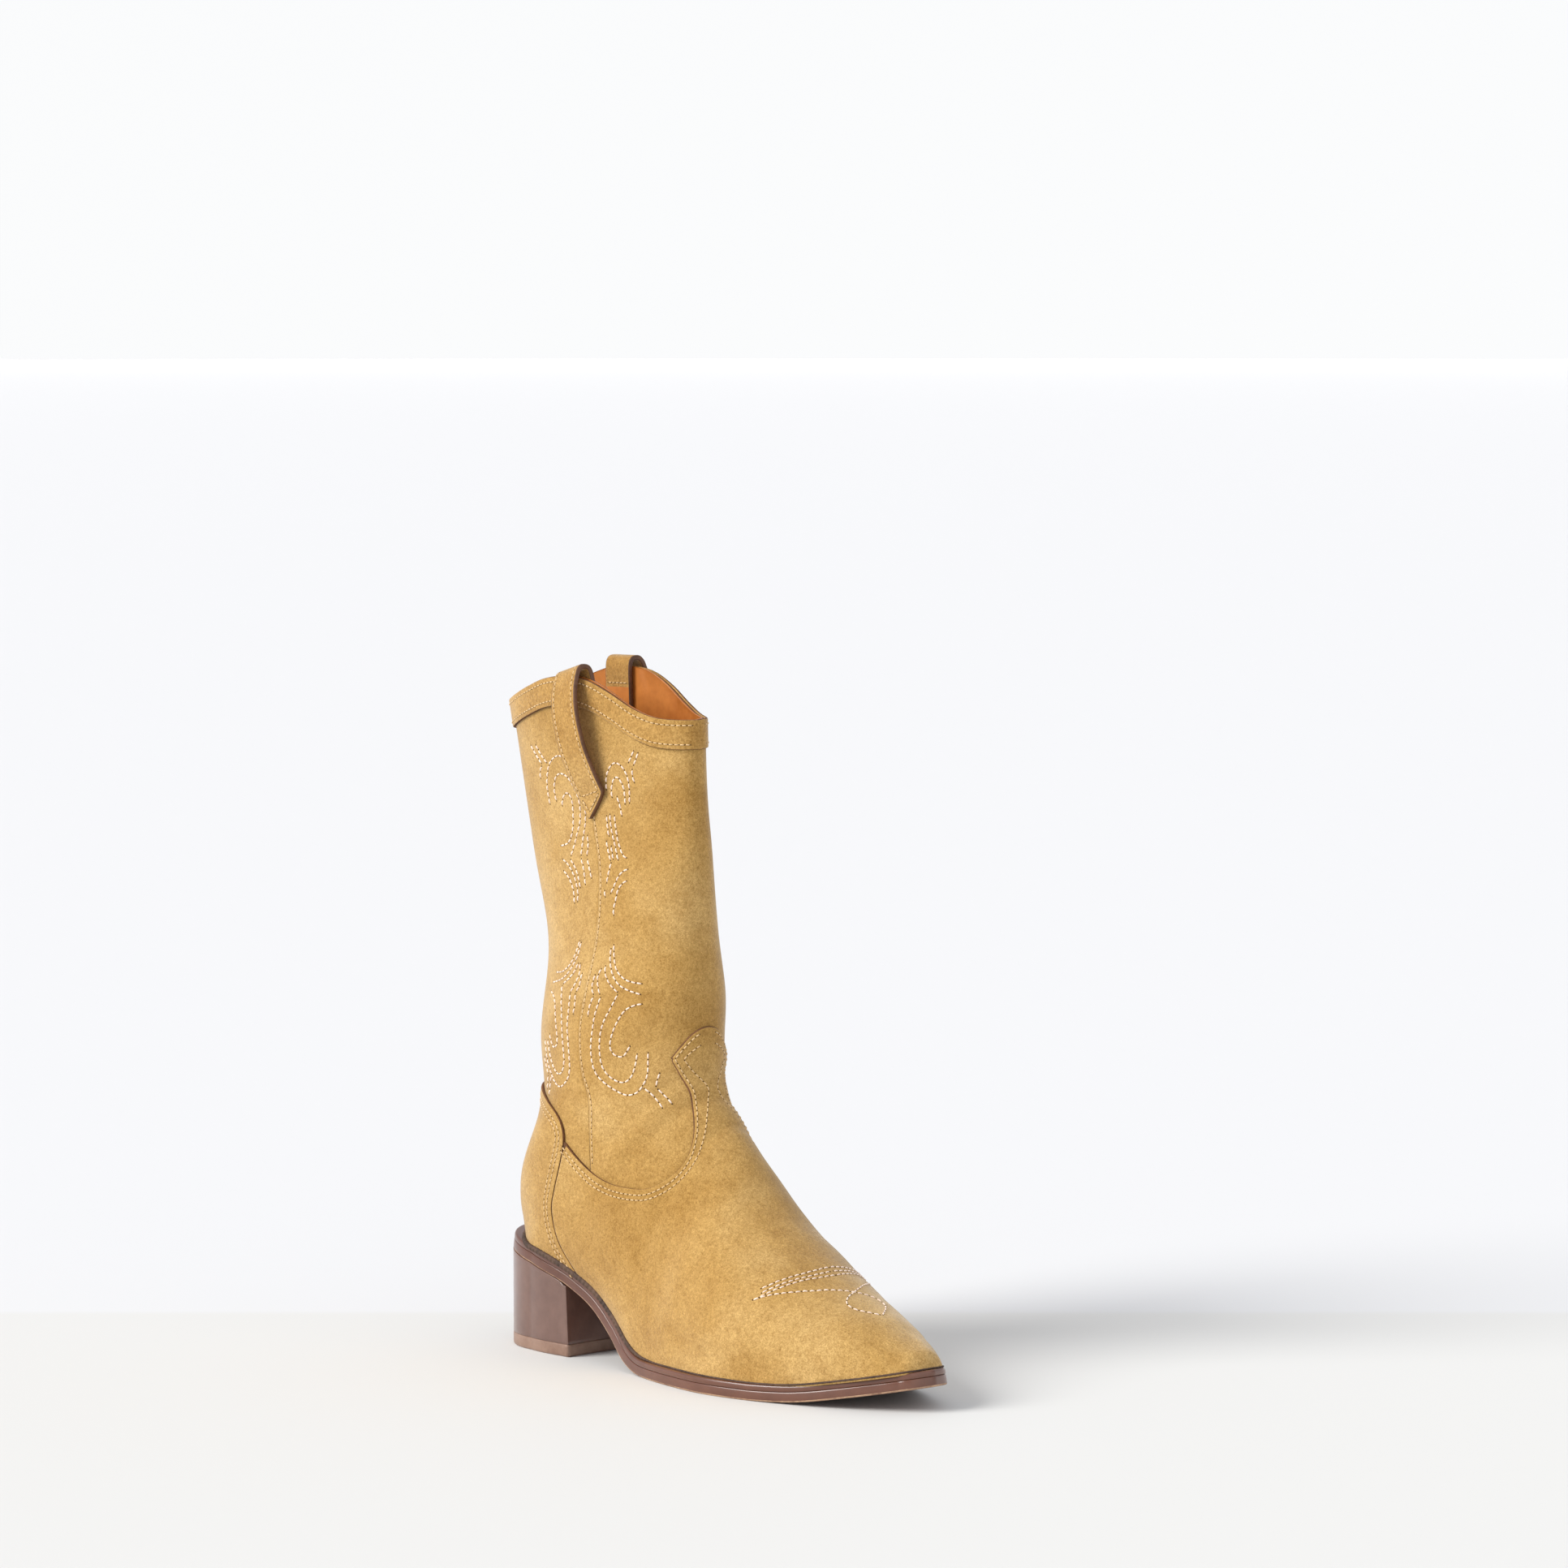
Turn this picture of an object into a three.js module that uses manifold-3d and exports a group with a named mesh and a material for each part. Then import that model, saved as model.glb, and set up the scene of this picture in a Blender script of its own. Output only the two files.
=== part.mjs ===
// Western mid-calf boot, right foot, with a side zip. Millimetres, +Z up.
// Working frame: x from the heel back to the toe, y towards the inner (medial) side, z up
// from the floor. The finished group is moved so that its origin is the middle of its base.
import * as THREE from "three";
import { mergeVertices } from "three/addons/utils/BufferGeometryUtils.js";
import Module from "manifold-3d";

const wasm = await Module();
wasm.setup();

// ---------------------------------------------------------------- driving dimensions
const GAP = 0.3;                    // clearance between pieces that touch on the real boot
const LEATHER = 1.3;                // upper leather thickness
const LINING = 1.0;                 // lining leather thickness
const OUTER = -LEATHER - GAP;       // depth of the outer face of vamp, counter cover, collar
const SHAFT_FACE = 0;               // depth of the outer face of the shaft panels
const LINING_FACE = LEATHER + GAP;  // depth of the outer face of the lining
const INSIDE = LINING_FACE + LINING + GAP;  // depth where the free inside begins
const REACH = 90;                   // half width of every cutter, wider than the boot

const OUTSOLE = 4.5;                // outsole thickness
const WELT = 2.5;                   // welt thickness
const SOLE = OUTSOLE + GAP + WELT;  // whole sole stack below the upper
const SOLE_EDGE = 4;                // how far the sole stands out past the upper's base line
const WELT_RING = 9;                // width of the welt ring
const RAND_HEIGHT = 2.2;
const RAND_THICK = 1;
const BREAST_X = 54;                // front face of the heel
const TOP_LIFT = 5.6;
const BOARD = 2;                    // insole board thickness
const SOCK = 1.5;                   // sock lining thickness
const SHANK = { from: 24, to: 106, width: 13, thick: 1.5 };
const CORK = { from: 112, to: 244 };

const COLLAR = 13;                  // collar band height
const STRAP = { width: 16.5, thick: 2.6, bow: 6.5 };

const ZIP_TOP = [42, 18.6, 231];    // upper end of the tooth line
const ZIP_BOTTOM = [36.5, 29.8, 96];
const ZIP_SAG = 5.2;                // how far the tooth line bows off its chord
const ZIP_BOW = new THREE.Vector3(-0.84, -0.54, 0);  // direction of that bow
const TEETH_HALF = 2.6;
const SLOT_HALF = 3.9;
const TAPE_HALF = 11.5;
const PIN = 1.2;                    // heel nail diameter

// Upper surface. Each station is a plane section: F is its point on the front ridge, B on the
// sole or on the heel back, wl and wm its greatest half widths, n how square its crown is.
const STATIONS = [
  // v     Fx     Fz     Bx    Bz    wl    wm    belly n
  [0.00, 252.2, 21.0, 254.2, 12.5, 2.0, 2.0, 0.30, 2.2],
  [0.02, 249.8, 23.6, 253.2, 12, 7.8, 7.4, 0.30, 2.3],
  [0.05, 244.5, 26.0, 250.4, 11, 12.5, 11.4, 0.32, 2.3],
  [0.12, 231, 32.2, 238.5, 8, 20.8, 18.4, 0.33, 2.2],
  [0.22, 209, 42.5, 215, 4, 32, 27.5, 0.33, 2.0],
  [0.32, 185, 55.5, 188, 3, 39.5, 33.5, 0.32, 1.9],
  [0.42, 163, 70.5, 160, 3, 43, 35.5, 0.30, 1.85],
  [0.50, 147, 86, 132, 3, 40, 35, 0.30, 1.85],
  [0.57, 134, 101, 104, 4, 35, 34, 0.30, 1.85],
  [0.63, 124, 114, 74, 24, 33.5, 33.5, 0.33, 1.9],
  [0.68, 118, 126, 40, 36, 33, 33, 0.38, 2.0],
  [0.72, 116.5, 138, 12, 44, 32.5, 32.5, 0.42, 2.1],
  [0.76, 116, 152, 5, 66, 32, 32, 0.44, 2.1],
  [0.80, 116, 170, 17.5, 100, 31, 31, 0.46, 2.1],
  [0.85, 114, 195, 13, 138, 27, 27, 0.48, 2.1],
  [0.90, 113, 225, 14, 180, 21, 21, 0.50, 2.15],
  [0.95, 111, 255, 1, 225, 18, 18, 0.50, 2.2],
  [1.00, 110, 312, -20, 314, 18, 18, 0.50, 2.2],
];
const BACK_STARTS = 0.70;           // from here on B climbs the heel back
const SECTIONS = 26;                // sections along the boot
const SOLE_STEP = 9.2;              // step along the sole's side-view lines
const PLAN_STEPS = 28;              // steps along the sole's outline, each side
const BELLY_STEPS = 3;              // steps from the base to the widest point, each side
const CROWN_STEPS = 5;              // steps from there to the ridge, each side

// Half widths of the upper's base line, lateral and medial, from the foot's centre line.
const PLAN = [
  [2, 0, 0],
  [5, 10, 10],
  [12, 18, 18],
  [28, 23.5, 23.5],
  [54, 24.5, 24.5],
  [80, 26, 25.5],
  [105, 33, 29],
  [135, 40, 33.5],
  [160, 42, 35],
  [185, 37.5, 33.5],
  [205, 31, 29.5],
  [225, 23.5, 22.5],
  [238.5, 16, 15.5],
  [248, 10, 10],
  [252.8, 5.5, 5.5],
  [254.6, 0, 0],
];
const PLAN_FROM = PLAN[0][0];
const PLAN_TO = PLAN.at(-1)[0];
const TOE_IN = 4;                   // the toe's centre line lies this far to the medial side

// Underside of the outsole seen from the side: heel seat, shank slope, tread, toe spring.
const TREAD = [
  [-8, 45.8],
  [0, 44.5],
  [30, 38.5],
  [54, 31.5],
  [68, 25],
  [82, 14.5],
  [95, 5],
  [107, 0.8],
  [118, 0],
  [186, 0],
  [205, 1],
  [232, 5.5],
  [268, 13],
];

// Topline of the shaft, lateral and medial.
const RIM_LATERAL = [
  [-30, 286], [-10, 288], [12, 295], [28, 299.8], [44, 301.5],
  [58, 300], [72, 295], [86, 288.5], [100, 285], [125, 285],
];
const RIM_MEDIAL = [
  [-30, 286], [-10, 289], [12, 297], [28, 302.5], [42, 304.5],
  [58, 303], [72, 297.5], [86, 290], [100, 285.5], [125, 285],
];

// Side seam between the front and back panels, from the topline down.
const SEAM_LATERAL = [
  [41, 320], [44.5, 300], [60, 240], [67, 214], [69, 187],
  [65.5, 163], [64, 147], [67, 131], [72.5, 117], [73.5, 100], [77, 60],
];

// Upper edge of the vamp from the counter forward over the tongue, each side.
const VAMP_EDGE_LATERAL = [
  [58.5, 97.5], [65.5, 92], [75, 86], [88, 81.6], [102.5, 80.6], [111, 82.3],
  [119, 88], [122.6, 95], [122.2, 103], [119.5, 112], [115, 124.5], [109.5, 137.5],
];
const VAMP_EDGE_MEDIAL = [
  [40.5, 88.5], [52, 84.5], [66, 82], [85, 80.6], [102.5, 80.6], [111, 82.3],
  [119, 88], [122.6, 95], [122.2, 103], [119.5, 112], [115, 124.5], [109.5, 137.5],
];
const TONGUE_EDGE = [[112.5, 143.5], [115.5, 150], [120, 157], [130, 160]];

// Edge of the heel counter cover from the back down to the sole, each side.
const COUNTER_EDGE_LATERAL = [
  [-10, 122], [22, 118.5], [44, 113], [54.5, 107], [58.3, 99], [56, 88.5],
  [51.3, 75.5], [49, 67], [50.5, 57], [54, 49], [62, 38],
];
const COUNTER_EDGE_MEDIAL = [
  [-10, 122], [14, 118], [23, 111], [27.2, 101], [29.5, 91], [35, 86.6], [41, 84],
  [46.5, 75], [48.5, 66], [50.5, 57], [54, 49], [62, 38],
];

// ---------------------------------------------------------------- small maths
const clamp = (value, low, high) => Math.min(high, Math.max(low, value));

function smoothstep(from, to, value) {
  const t = clamp((value - from) / (to - from), 0, 1);
  return t * t * (3 - 2 * t);
}

// Cubic Hermite interpolation of one column of a table whose first column is the key.
function curve(table, column, key) {
  const last = table.length - 2;
  let i = table.findIndex((row) => row[0] > key) - 1;
  if (i < 0) i = key < table[0][0] ? 0 : last;
  const slope = (k) => (table[k + 1][column] - table[k][column]) / (table[k + 1][0] - table[k][0]);
  const tangent = (k) => {
    if (k === 0) return slope(0);
    if (k === table.length - 1) return slope(k - 1);
    const before = table[k][0] - table[k - 1][0];
    const after = table[k + 1][0] - table[k][0];
    return (slope(k - 1) * after + slope(k) * before) / (before + after);
  };
  const span = table[i + 1][0] - table[i][0];
  const t = (key - table[i][0]) / span;
  const h00 = (1 + 2 * t) * (1 - t) ** 2;
  const h10 = t * (1 - t) ** 2;
  const h01 = t * t * (3 - 2 * t);
  const h11 = t * t * (t - 1);
  return h00 * table[i][column] + h10 * span * tangent(i)
    + h01 * table[i + 1][column] + h11 * span * tangent(i + 1);
}

// Points of a smooth curve through the given [x, z] points.
function smooth(points, perSpan = 2) {
  const spline = new THREE.SplineCurve(points.map(([x, z]) => new THREE.Vector2(x, z)));
  return spline.getPoints((points.length - 1) * perSpan).map((p) => [p.x, p.y]);
}

const treadAt = (x) => Math.max(0, curve(TREAD, 1, x));

// ---------------------------------------------------------------- solids
function solidFrom(positions, indices) {
  const mesh = new wasm.Mesh({
    numProp: 3,
    vertProperties: new Float32Array(positions),
    triVerts: new Uint32Array(indices),
  });
  return new wasm.Manifold(mesh);
}

function toSolid(geometry) {
  geometry.deleteAttribute("normal");
  geometry.deleteAttribute("uv");
  const merged = mergeVertices(geometry, 1e-5);
  return solidFrom(merged.attributes.position.array, merged.index.array);
}

function toGeometry(solid) {
  const { vertProperties, triVerts } = solid.getMesh();
  const geometry = new THREE.BufferGeometry();
  geometry.setAttribute("position", new THREE.BufferAttribute(vertProperties, 3));
  geometry.setIndex(new THREE.BufferAttribute(triVerts, 1));
  geometry.computeVertexNormals();
  return geometry;
}

function extrude(points, depth) {
  const shape = new THREE.Shape(points.map(([a, b]) => new THREE.Vector2(a, b)));
  return new THREE.ExtrudeGeometry(shape, { depth, bevelEnabled: false });
}

// Prism of a side-view outline of [x, z] points, from y0 to y1.
function sidePrism(points, y0 = -REACH, y1 = REACH) {
  const geometry = extrude(points, y1 - y0);
  geometry.rotateX(Math.PI / 2);
  geometry.translate(0, y1, 0);
  return toSolid(geometry);
}

// Prism of a plan outline of [x, y] points, from z0 to z1.
function planPrism(points, z0, z1) {
  const geometry = extrude(points, z1 - z0);
  geometry.translate(0, 0, z0);
  return toSolid(geometry);
}

// One cutter with a different side-view outline on each side of the boot.
function twoSided(lateral, medial) {
  return sidePrism(lateral, -REACH, 0).add(sidePrism(medial, 0, REACH));
}

// ---------------------------------------------------------------- the upper's surface
const footCentre = (x) => TOE_IN * smoothstep(20, 150, x);

function linePoint(v, xColumn) {
  return [curve(STATIONS, xColumn, v), curve(STATIONS, xColumn + 1, v)];
}

// Unit tangent of the ridge (column 1) or back line (column 3) at v, heading up the boot.
function lineTangent(v, xColumn) {
  const step = 0.004;
  const a = linePoint(Math.max(0, v - step), xColumn);
  const b = linePoint(Math.min(1, v + step), xColumn);
  const length = Math.hypot(b[0] - a[0], b[1] - a[1]);
  return [(b[0] - a[0]) / length, (b[1] - a[1]) / length];
}

// Section at v of the surface that lies `depth` inside the shaft's outer face.
function sectionAt(v, depth) {
  const front = linePoint(v, 1);
  const back = linePoint(v, 3);
  const centre = footCentre(back[0]);
  const baseLateral = curve(PLAN, 1, clamp(back[0], PLAN_FROM, PLAN_TO));
  const baseMedial = curve(PLAN, 2, clamp(back[0], PLAN_FROM, PLAN_TO));
  const [fx, fz] = lineTangent(v, 1);
  front[0] -= depth * fz;
  front[1] += depth * fx;
  const climb = smoothstep(BACK_STARTS - 0.02, BACK_STARTS + 0.05, v);
  const [bx, bz] = lineTangent(v, 3);
  back[0] += depth * bz * climb - depth * clamp((back[0] - 215) / 40, 0, 1);
  back[1] -= depth * bx * climb;
  const fade = Math.sqrt(clamp((BACK_STARTS + 0.045 - v) / 0.04, 0, 1));
  const belly = curve(STATIONS, 7, v);
  const crown = curve(STATIONS, 8, v);
  const half = (column, base) => {
    const width = Math.max(0.5, curve(STATIONS, column, v) - depth);
    const foot = clamp(((base - depth) / width) * fade, 0.3 / width, 1);
    return { width, foot };
  };
  const lateral = half(5, baseLateral);
  const medial = half(6, baseMedial);
  return { front, back, centre, belly, crown, lateral, medial };
}

// Half width and place on the chord of the k-th point of a section's side.
function profilePoint(section, side, k) {
  const { belly, crown } = section;
  const { width, foot } = side;
  const swell = 2.1;
  if (k <= BELLY_STEPS) {
    const t = belly * (1 - Math.cos((Math.PI / 2) * (k / BELLY_STEPS)));
    const share = (1 - (1 - foot ** swell) * (1 - t / belly) ** swell) ** (1 / swell);
    return [t, width * share];
  }
  const angle = (Math.PI / 2) * ((k - BELLY_STEPS) / CROWN_STEPS);
  const t = belly + (1 - belly) * Math.sin(angle) ** (2 / crown);
  return [t, width * Math.max(0, Math.cos(angle)) ** (2 / crown)];
}

function sectionLoop(section) {
  const last = BELLY_STEPS + CROWN_STEPS;
  const { front, back, centre } = section;
  const place = (side, sign, k) => {
    const [t, half] = profilePoint(section, side, k);
    const x = back[0] + t * (front[0] - back[0]);
    const z = back[1] + t * (front[1] - back[1]);
    return [x, centre + sign * half, z];
  };
  const loop = [];
  for (let k = 0; k <= last; k += 1) loop.push(place(section.lateral, -1, k));
  for (let k = last - 1; k >= 0; k -= 1) loop.push(place(section.medial, 1, k));
  return loop;
}

// Even sections, with two more at the toe, where the surface turns fast.
function sectionKeys() {
  const keys = [];
  for (let i = 0; i <= SECTIONS; i += 1) keys.push(i / SECTIONS);
  keys.splice(1, 0, 0.01, 0.02);
  return keys;
}

// The filled boot shape whose skin lies `depth` inside the shaft's outer face.
const filledCache = new Map();
function filled(depth) {
  if (filledCache.has(depth)) return filledCache.get(depth);
  const loops = sectionKeys().map((v) => sectionLoop(sectionAt(v, depth)));
  const size = loops[0].length;
  const points = loops.flat();
  const triangles = [];
  for (let i = 0; i + 1 < loops.length; i += 1) {
    for (let j = 0; j < size; j += 1) {
      const next = (j + 1) % size;
      const a = i * size + j;
      const b = i * size + next;
      const c = (i + 1) * size + next;
      const d = (i + 1) * size + j;
      triangles.push(a, b, c, a, c, d);
    }
  }
  const cap = (row, flip) => {
    const centre = new THREE.Vector3();
    loops[row].forEach((p) => centre.add(new THREE.Vector3(...p)));
    centre.divideScalar(size);
    points.push(centre.toArray());
    const hub = points.length - 1;
    for (let j = 0; j < size; j += 1) {
      const a = row * size + j;
      const b = row * size + ((j + 1) % size);
      triangles.push(hub, flip ? a : b, flip ? b : a);
    }
  };
  cap(0, false);
  cap(loops.length - 1, true);
  const solid = solidFrom(points.flat(), triangles);
  filledCache.set(depth, solid);
  return solid;
}

// A skin of the boot between two depths, above the sole stack.
function layer(from, to, lift = GAP) {
  return filled(from).subtract(filled(to)).intersect(aboveSole(lift));
}

// ---------------------------------------------------------------- side-view cutters
// Points of a line that runs `height` above the outsole's underside.
function soleLine(height) {
  const points = [];
  for (let x = -8; x <= 268; x += SOLE_STEP) {
    const slope = (treadAt(x + 1) - treadAt(x - 1)) / 2;
    const length = Math.hypot(1, slope);
    points.push([x - (height * slope) / length, treadAt(x) + height / length]);
  }
  return points;
}

function soleBand(from, to) {
  return sidePrism([...soleLine(from), ...soleLine(to).reverse()]);
}

function aboveSole(lift) {
  const line = soleLine(SOLE + lift);
  return sidePrism([[-60, line[0][1]], ...line, [330, 20], [330, 400], [-60, 400]]);
}

// Everything below the topline, dropped by `drop` from it.
function belowRim(drop) {
  const outline = (rim) => {
    const line = smooth(rim).map(([x, z]) => [x, z - drop]);
    return [[-60, -10], [330, -10], [330, 250], ...line.reverse(), [-60, 250]];
  };
  return twoSided(outline(RIM_LATERAL), outline(RIM_MEDIAL));
}

// ---------------------------------------------------------------- the zip's line
const zipTop = new THREE.Vector3(...ZIP_TOP);
const zipBottom = new THREE.Vector3(...ZIP_BOTTOM);
const zipChord = zipBottom.clone().sub(zipTop);
const zipBow = ZIP_BOW.clone();
zipBow.addScaledVector(zipChord, -ZIP_BOW.dot(zipChord) / zipChord.lengthSq()).normalize();
const zipRadius = zipChord.lengthSq() / (8 * ZIP_SAG) + ZIP_SAG / 2;
const zipCentre = zipTop.clone().add(zipBottom).multiplyScalar(0.5);
zipCentre.addScaledVector(zipBow, ZIP_SAG - zipRadius);
const zipAxis = zipBow.clone().cross(zipChord).normalize();
const zipSweep = 2 * Math.asin(zipChord.length() / (2 * zipRadius));

// Point of the tooth line; 0 is its upper end and 1 its lower end.
function zipPoint(share) {
  const arm = zipTop.clone().sub(zipCentre);
  return arm.applyAxisAngle(zipAxis, share * zipSweep).add(zipCentre);
}

// Side-view strip along the tooth line, `from` to `to` millimetres in front of it.
function zipStrip(from, to, start = 0, end = 1, steps = 12) {
  const edge = (offset) => {
    const points = [];
    for (let i = 0; i <= steps; i += 1) {
      const share = start + ((end - start) * i) / steps;
      const p = zipPoint(share);
      const q = zipPoint(share + 0.01);
      const length = Math.hypot(q.x - p.x, q.z - p.z);
      points.push([p.x + (offset * (p.z - q.z)) / length, p.z + (offset * (q.x - p.x)) / length]);
    }
    return points;
  };
  return sidePrism([...edge(from), ...edge(to).reverse()], 0, REACH);
}

// ---------------------------------------------------------------- sole pieces
// Half widths of the base line from heel to toe: [x, lateral, medial], closer at both ends.
function planRows() {
  const rows = [];
  for (let i = 0; i <= PLAN_STEPS; i += 1) {
    const share = (1 - Math.cos((Math.PI * i) / PLAN_STEPS)) / 2;
    const x = PLAN_FROM + (PLAN_TO - PLAN_FROM) * share;
    rows.push([x, Math.max(0, curve(PLAN, 1, x)), Math.max(0, curve(PLAN, 2, x))]);
  }
  return rows;
}

// Plan outline that stands `edge` outside the upper's base line.
function solePlan(edge) {
  const rows = planRows();
  const lateral = rows.map(([x, half]) => [x, footCentre(x) - half]);
  const medial = rows.map(([x, , half]) => [x, footCentre(x) + half]);
  const loop = [...lateral, ...medial.reverse().slice(1, -1)];
  return loop.map((point, i) => {
    const before = loop[(i + loop.length - 1) % loop.length];
    const after = loop[(i + 1) % loop.length];
    const length = Math.hypot(after[0] - before[0], after[1] - before[1]);
    const nx = (after[1] - before[1]) / length;
    const ny = -(after[0] - before[0]) / length;
    return [point[0] + edge * nx, point[1] + edge * ny];
  });
}

// Plan outline that stands `inset` inside the base line, ending where it would close.
function innerPlan(inset) {
  const rows = planRows().filter(([, lateral, medial]) => Math.min(lateral, medial) > inset + 1);
  const lateral = rows.map(([x, half]) => [x, footCentre(x) - half + inset]);
  const medial = rows.map(([x, , half]) => [x, footCentre(x) + half - inset]);
  return [...lateral, ...medial.reverse()];
}

function soleSlab(edge, from, to) {
  return planPrism(solePlan(edge), -5, 80).intersect(soleBand(from, to));
}

function boxBetween(x0, x1, y0, y1, z0, z1) {
  return planPrism([[x0, y0], [x1, y0], [x1, y1], [x0, y1]], z0, z1);
}

const NAILS = [[15, -9], [15, 9], [40, -13], [40, 13]];

function nailRound(x, y, radius, z0, z1, sides = 8) {
  const points = [];
  for (let i = 0; i < sides; i += 1) {
    const angle = (2 * Math.PI * i) / sides;
    points.push([x + radius * Math.cos(angle), y + radius * Math.sin(angle)]);
  }
  return planPrism(points, z0, z1);
}

function nail([x, y]) {
  const head = treadAt(x) + OUTSOLE + GAP;
  const shaft = nailRound(x, y, PIN, head - 20, head + 0.5);
  return shaft.add(nailRound(x, y, PIN * 2, head + 0.4, head + 1.4));
}

function withoutNails(solid) {
  let result = solid;
  NAILS.forEach(([x, y]) => {
    const top = treadAt(x) + OUTSOLE;
    result = result.subtract(nailRound(x, y, PIN + GAP, top - 21, top + 5));
  });
  return result;
}

function heelRegion(z0, z1) {
  const plan = planPrism(solePlan(SOLE_EDGE), z0, z1);
  return plan.intersect(sidePrism([[-20, -5], [BREAST_X, -5], [BREAST_X - 1.5, 60], [-20, 60]]));
}

function outsole() {
  return withoutNails(soleSlab(SOLE_EDGE, 0, OUTSOLE));
}

function welt() {
  const slab = soleSlab(SOLE_EDGE, OUTSOLE + GAP, SOLE);
  return slab.subtract(planPrism(innerPlan(WELT_RING - SOLE_EDGE), -5, 80));
}

function rand() {
  const skin = filled(OUTER - GAP - RAND_THICK).subtract(filled(OUTER - GAP));
  return skin.intersect(soleBand(SOLE + GAP, SOLE + GAP + RAND_HEIGHT));
}

function heelBlock() {
  const line = soleLine(-GAP).filter(([x]) => x < BREAST_X + 12);
  const base = TOP_LIFT + GAP;
  const under = sidePrism([[line[0][0], base], [line.at(-1)[0], base], ...line.reverse()]);
  return withoutNails(heelRegion(0, 60).intersect(under));
}

function topLift() {
  return heelRegion(0, TOP_LIFT);
}

function shank() {
  const band = soleBand(OUTSOLE + GAP, OUTSOLE + GAP + SHANK.thick);
  const side = SHANK.width / 2;
  return boxBetween(SHANK.from, SHANK.to, 1 - side, 1 + side, -5, 80).intersect(band);
}

function corkFiller() {
  const plan = planPrism(innerPlan(WELT_RING - SOLE_EDGE + GAP), -5, 80);
  const length = boxBetween(CORK.from, CORK.to, -REACH, REACH, -5, 80);
  return plan.intersect(soleBand(OUTSOLE + GAP, SOLE)).intersect(length);
}

function insideSlab(from, to) {
  return filled(INSIDE).intersect(soleBand(SOLE + from, SOLE + to));
}

// ---------------------------------------------------------------- upper pieces
// The vamp's outline; its heelward part lies inside the counter region, which trims it.
function vampOutline(edge, heelward) {
  return [...smooth(edge), ...smooth(TONGUE_EDGE), [330, 160], [330, -20], [30, -20], ...heelward];
}

function counterRegion(shift) {
  const outline = (edge) => {
    const line = smooth(edge).map(([x, z]) => [x - shift, z]);
    return [...line, ...[[62 - shift, -20], [-60, -20], [-60, 122]]];
  };
  return twoSided(outline(COUNTER_EDGE_LATERAL), outline(COUNTER_EDGE_MEDIAL));
}

function vamp() {
  const lateral = vampOutline(VAMP_EDGE_LATERAL, [[30, 97.5]]);
  const medial = vampOutline(VAMP_EDGE_MEDIAL, [[30, 84], [40.5, 84]]);
  const region = twoSided(lateral, medial);
  return layer(OUTER, OUTER + LEATHER).intersect(region).subtract(counterRegion(-GAP));
}

function counterCover() {
  return layer(OUTER, OUTER + LEATHER).intersect(counterRegion(0));
}

// Region in front of the side seams: the lateral seam, and the zip on the medial side.
function frontRegion(shift) {
  const medialSeam = [[44, 320], [43, 300], [ZIP_TOP[0], ZIP_TOP[2] + 2]];
  for (let i = 0; i <= 6; i += 1) medialSeam.push([zipPoint(i / 6).x, zipPoint(i / 6).z]);
  medialSeam.push([38, 80], [38, -20]);
  const close = [[330, -20], [330, 320]];
  const lateral = [...smooth(SEAM_LATERAL), [77, -20]];
  const moved = (line) => line.map(([x, z]) => [x + shift, z]);
  return twoSided([...moved(lateral), ...close], [...moved(medialSeam), ...close]);
}

const zipSlot = () => zipStrip(-SLOT_HALF, SLOT_HALF, -0.05, 1.01);
const liningSlot = () => zipStrip(-TAPE_HALF - GAP, TAPE_HALF + GAP, -0.07, 1.05);

// Shaft panels run on under the vamp and the counter cover by a lasting allowance.
function shaftLower() {
  const line = [[-60, 104], [20, 106], [46, 101], [60, 84], [90, 70], [118, 71], [134, 82], [152, 92]];
  return sidePrism([...line, [330, 92], [330, 400], [-60, 400]]);
}

function shaftPanel(region) {
  return layer(SHAFT_FACE, LEATHER)
    .intersect(shaftLower())
    .intersect(belowRim(0.5))
    .intersect(region)
    .subtract(zipSlot());
}

function collar(region) {
  const band = belowRim(0).subtract(belowRim(COLLAR));
  return layer(OUTER, OUTER + LEATHER).intersect(band).intersect(region);
}

function behind(shift) {
  return sidePrism([[-60, -20], [330, -20], [330, 400], [-60, 400]]).subtract(frontRegion(shift));
}

// The lining is split like the shaft, but its vamp part reaches back to the waist.
function vampLiningRegion(shift) {
  const line = [[72, -20], [72, 60], [84, 88], [104, 106], [118, 118], [150, 140]];
  const moved = line.map(([x, z]) => [x + shift, z - shift]);
  return sidePrism([...moved, [330, 140], [330, -20]]);
}

function lining(region) {
  return layer(LINING_FACE, LINING_FACE + LINING).intersect(region);
}

function liningFront() {
  const whole = lining(frontRegion(GAP)).subtract(vampLiningRegion(-GAP));
  return whole.intersect(belowRim(0.3)).subtract(liningSlot());
}

function liningBack() {
  const whole = lining(behind(-GAP)).subtract(vampLiningRegion(-GAP));
  return whole.intersect(belowRim(0.3)).subtract(liningSlot());
}

function vampLining() {
  return lining(vampLiningRegion(0));
}

function toePuff() {
  return layer(SHAFT_FACE, LEATHER).intersect(sidePrism([[206, -10], [212, 70], [330, 70], [330, -10]]));
}

function counterStiffener() {
  const outline = [[-60, -10], [46, -10], [45, 60], [42, 84], [24, 100], [-60, 101]];
  return layer(SHAFT_FACE, LEATHER).intersect(sidePrism(outline));
}

// ---------------------------------------------------------------- pull straps
// Wall of collar, shaft and lining that a strap must stay clear of.
function strapKeepOut() {
  return filled(OUTER - GAP).subtract(filled(INSIDE)).intersect(belowRim(-GAP));
}

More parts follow.
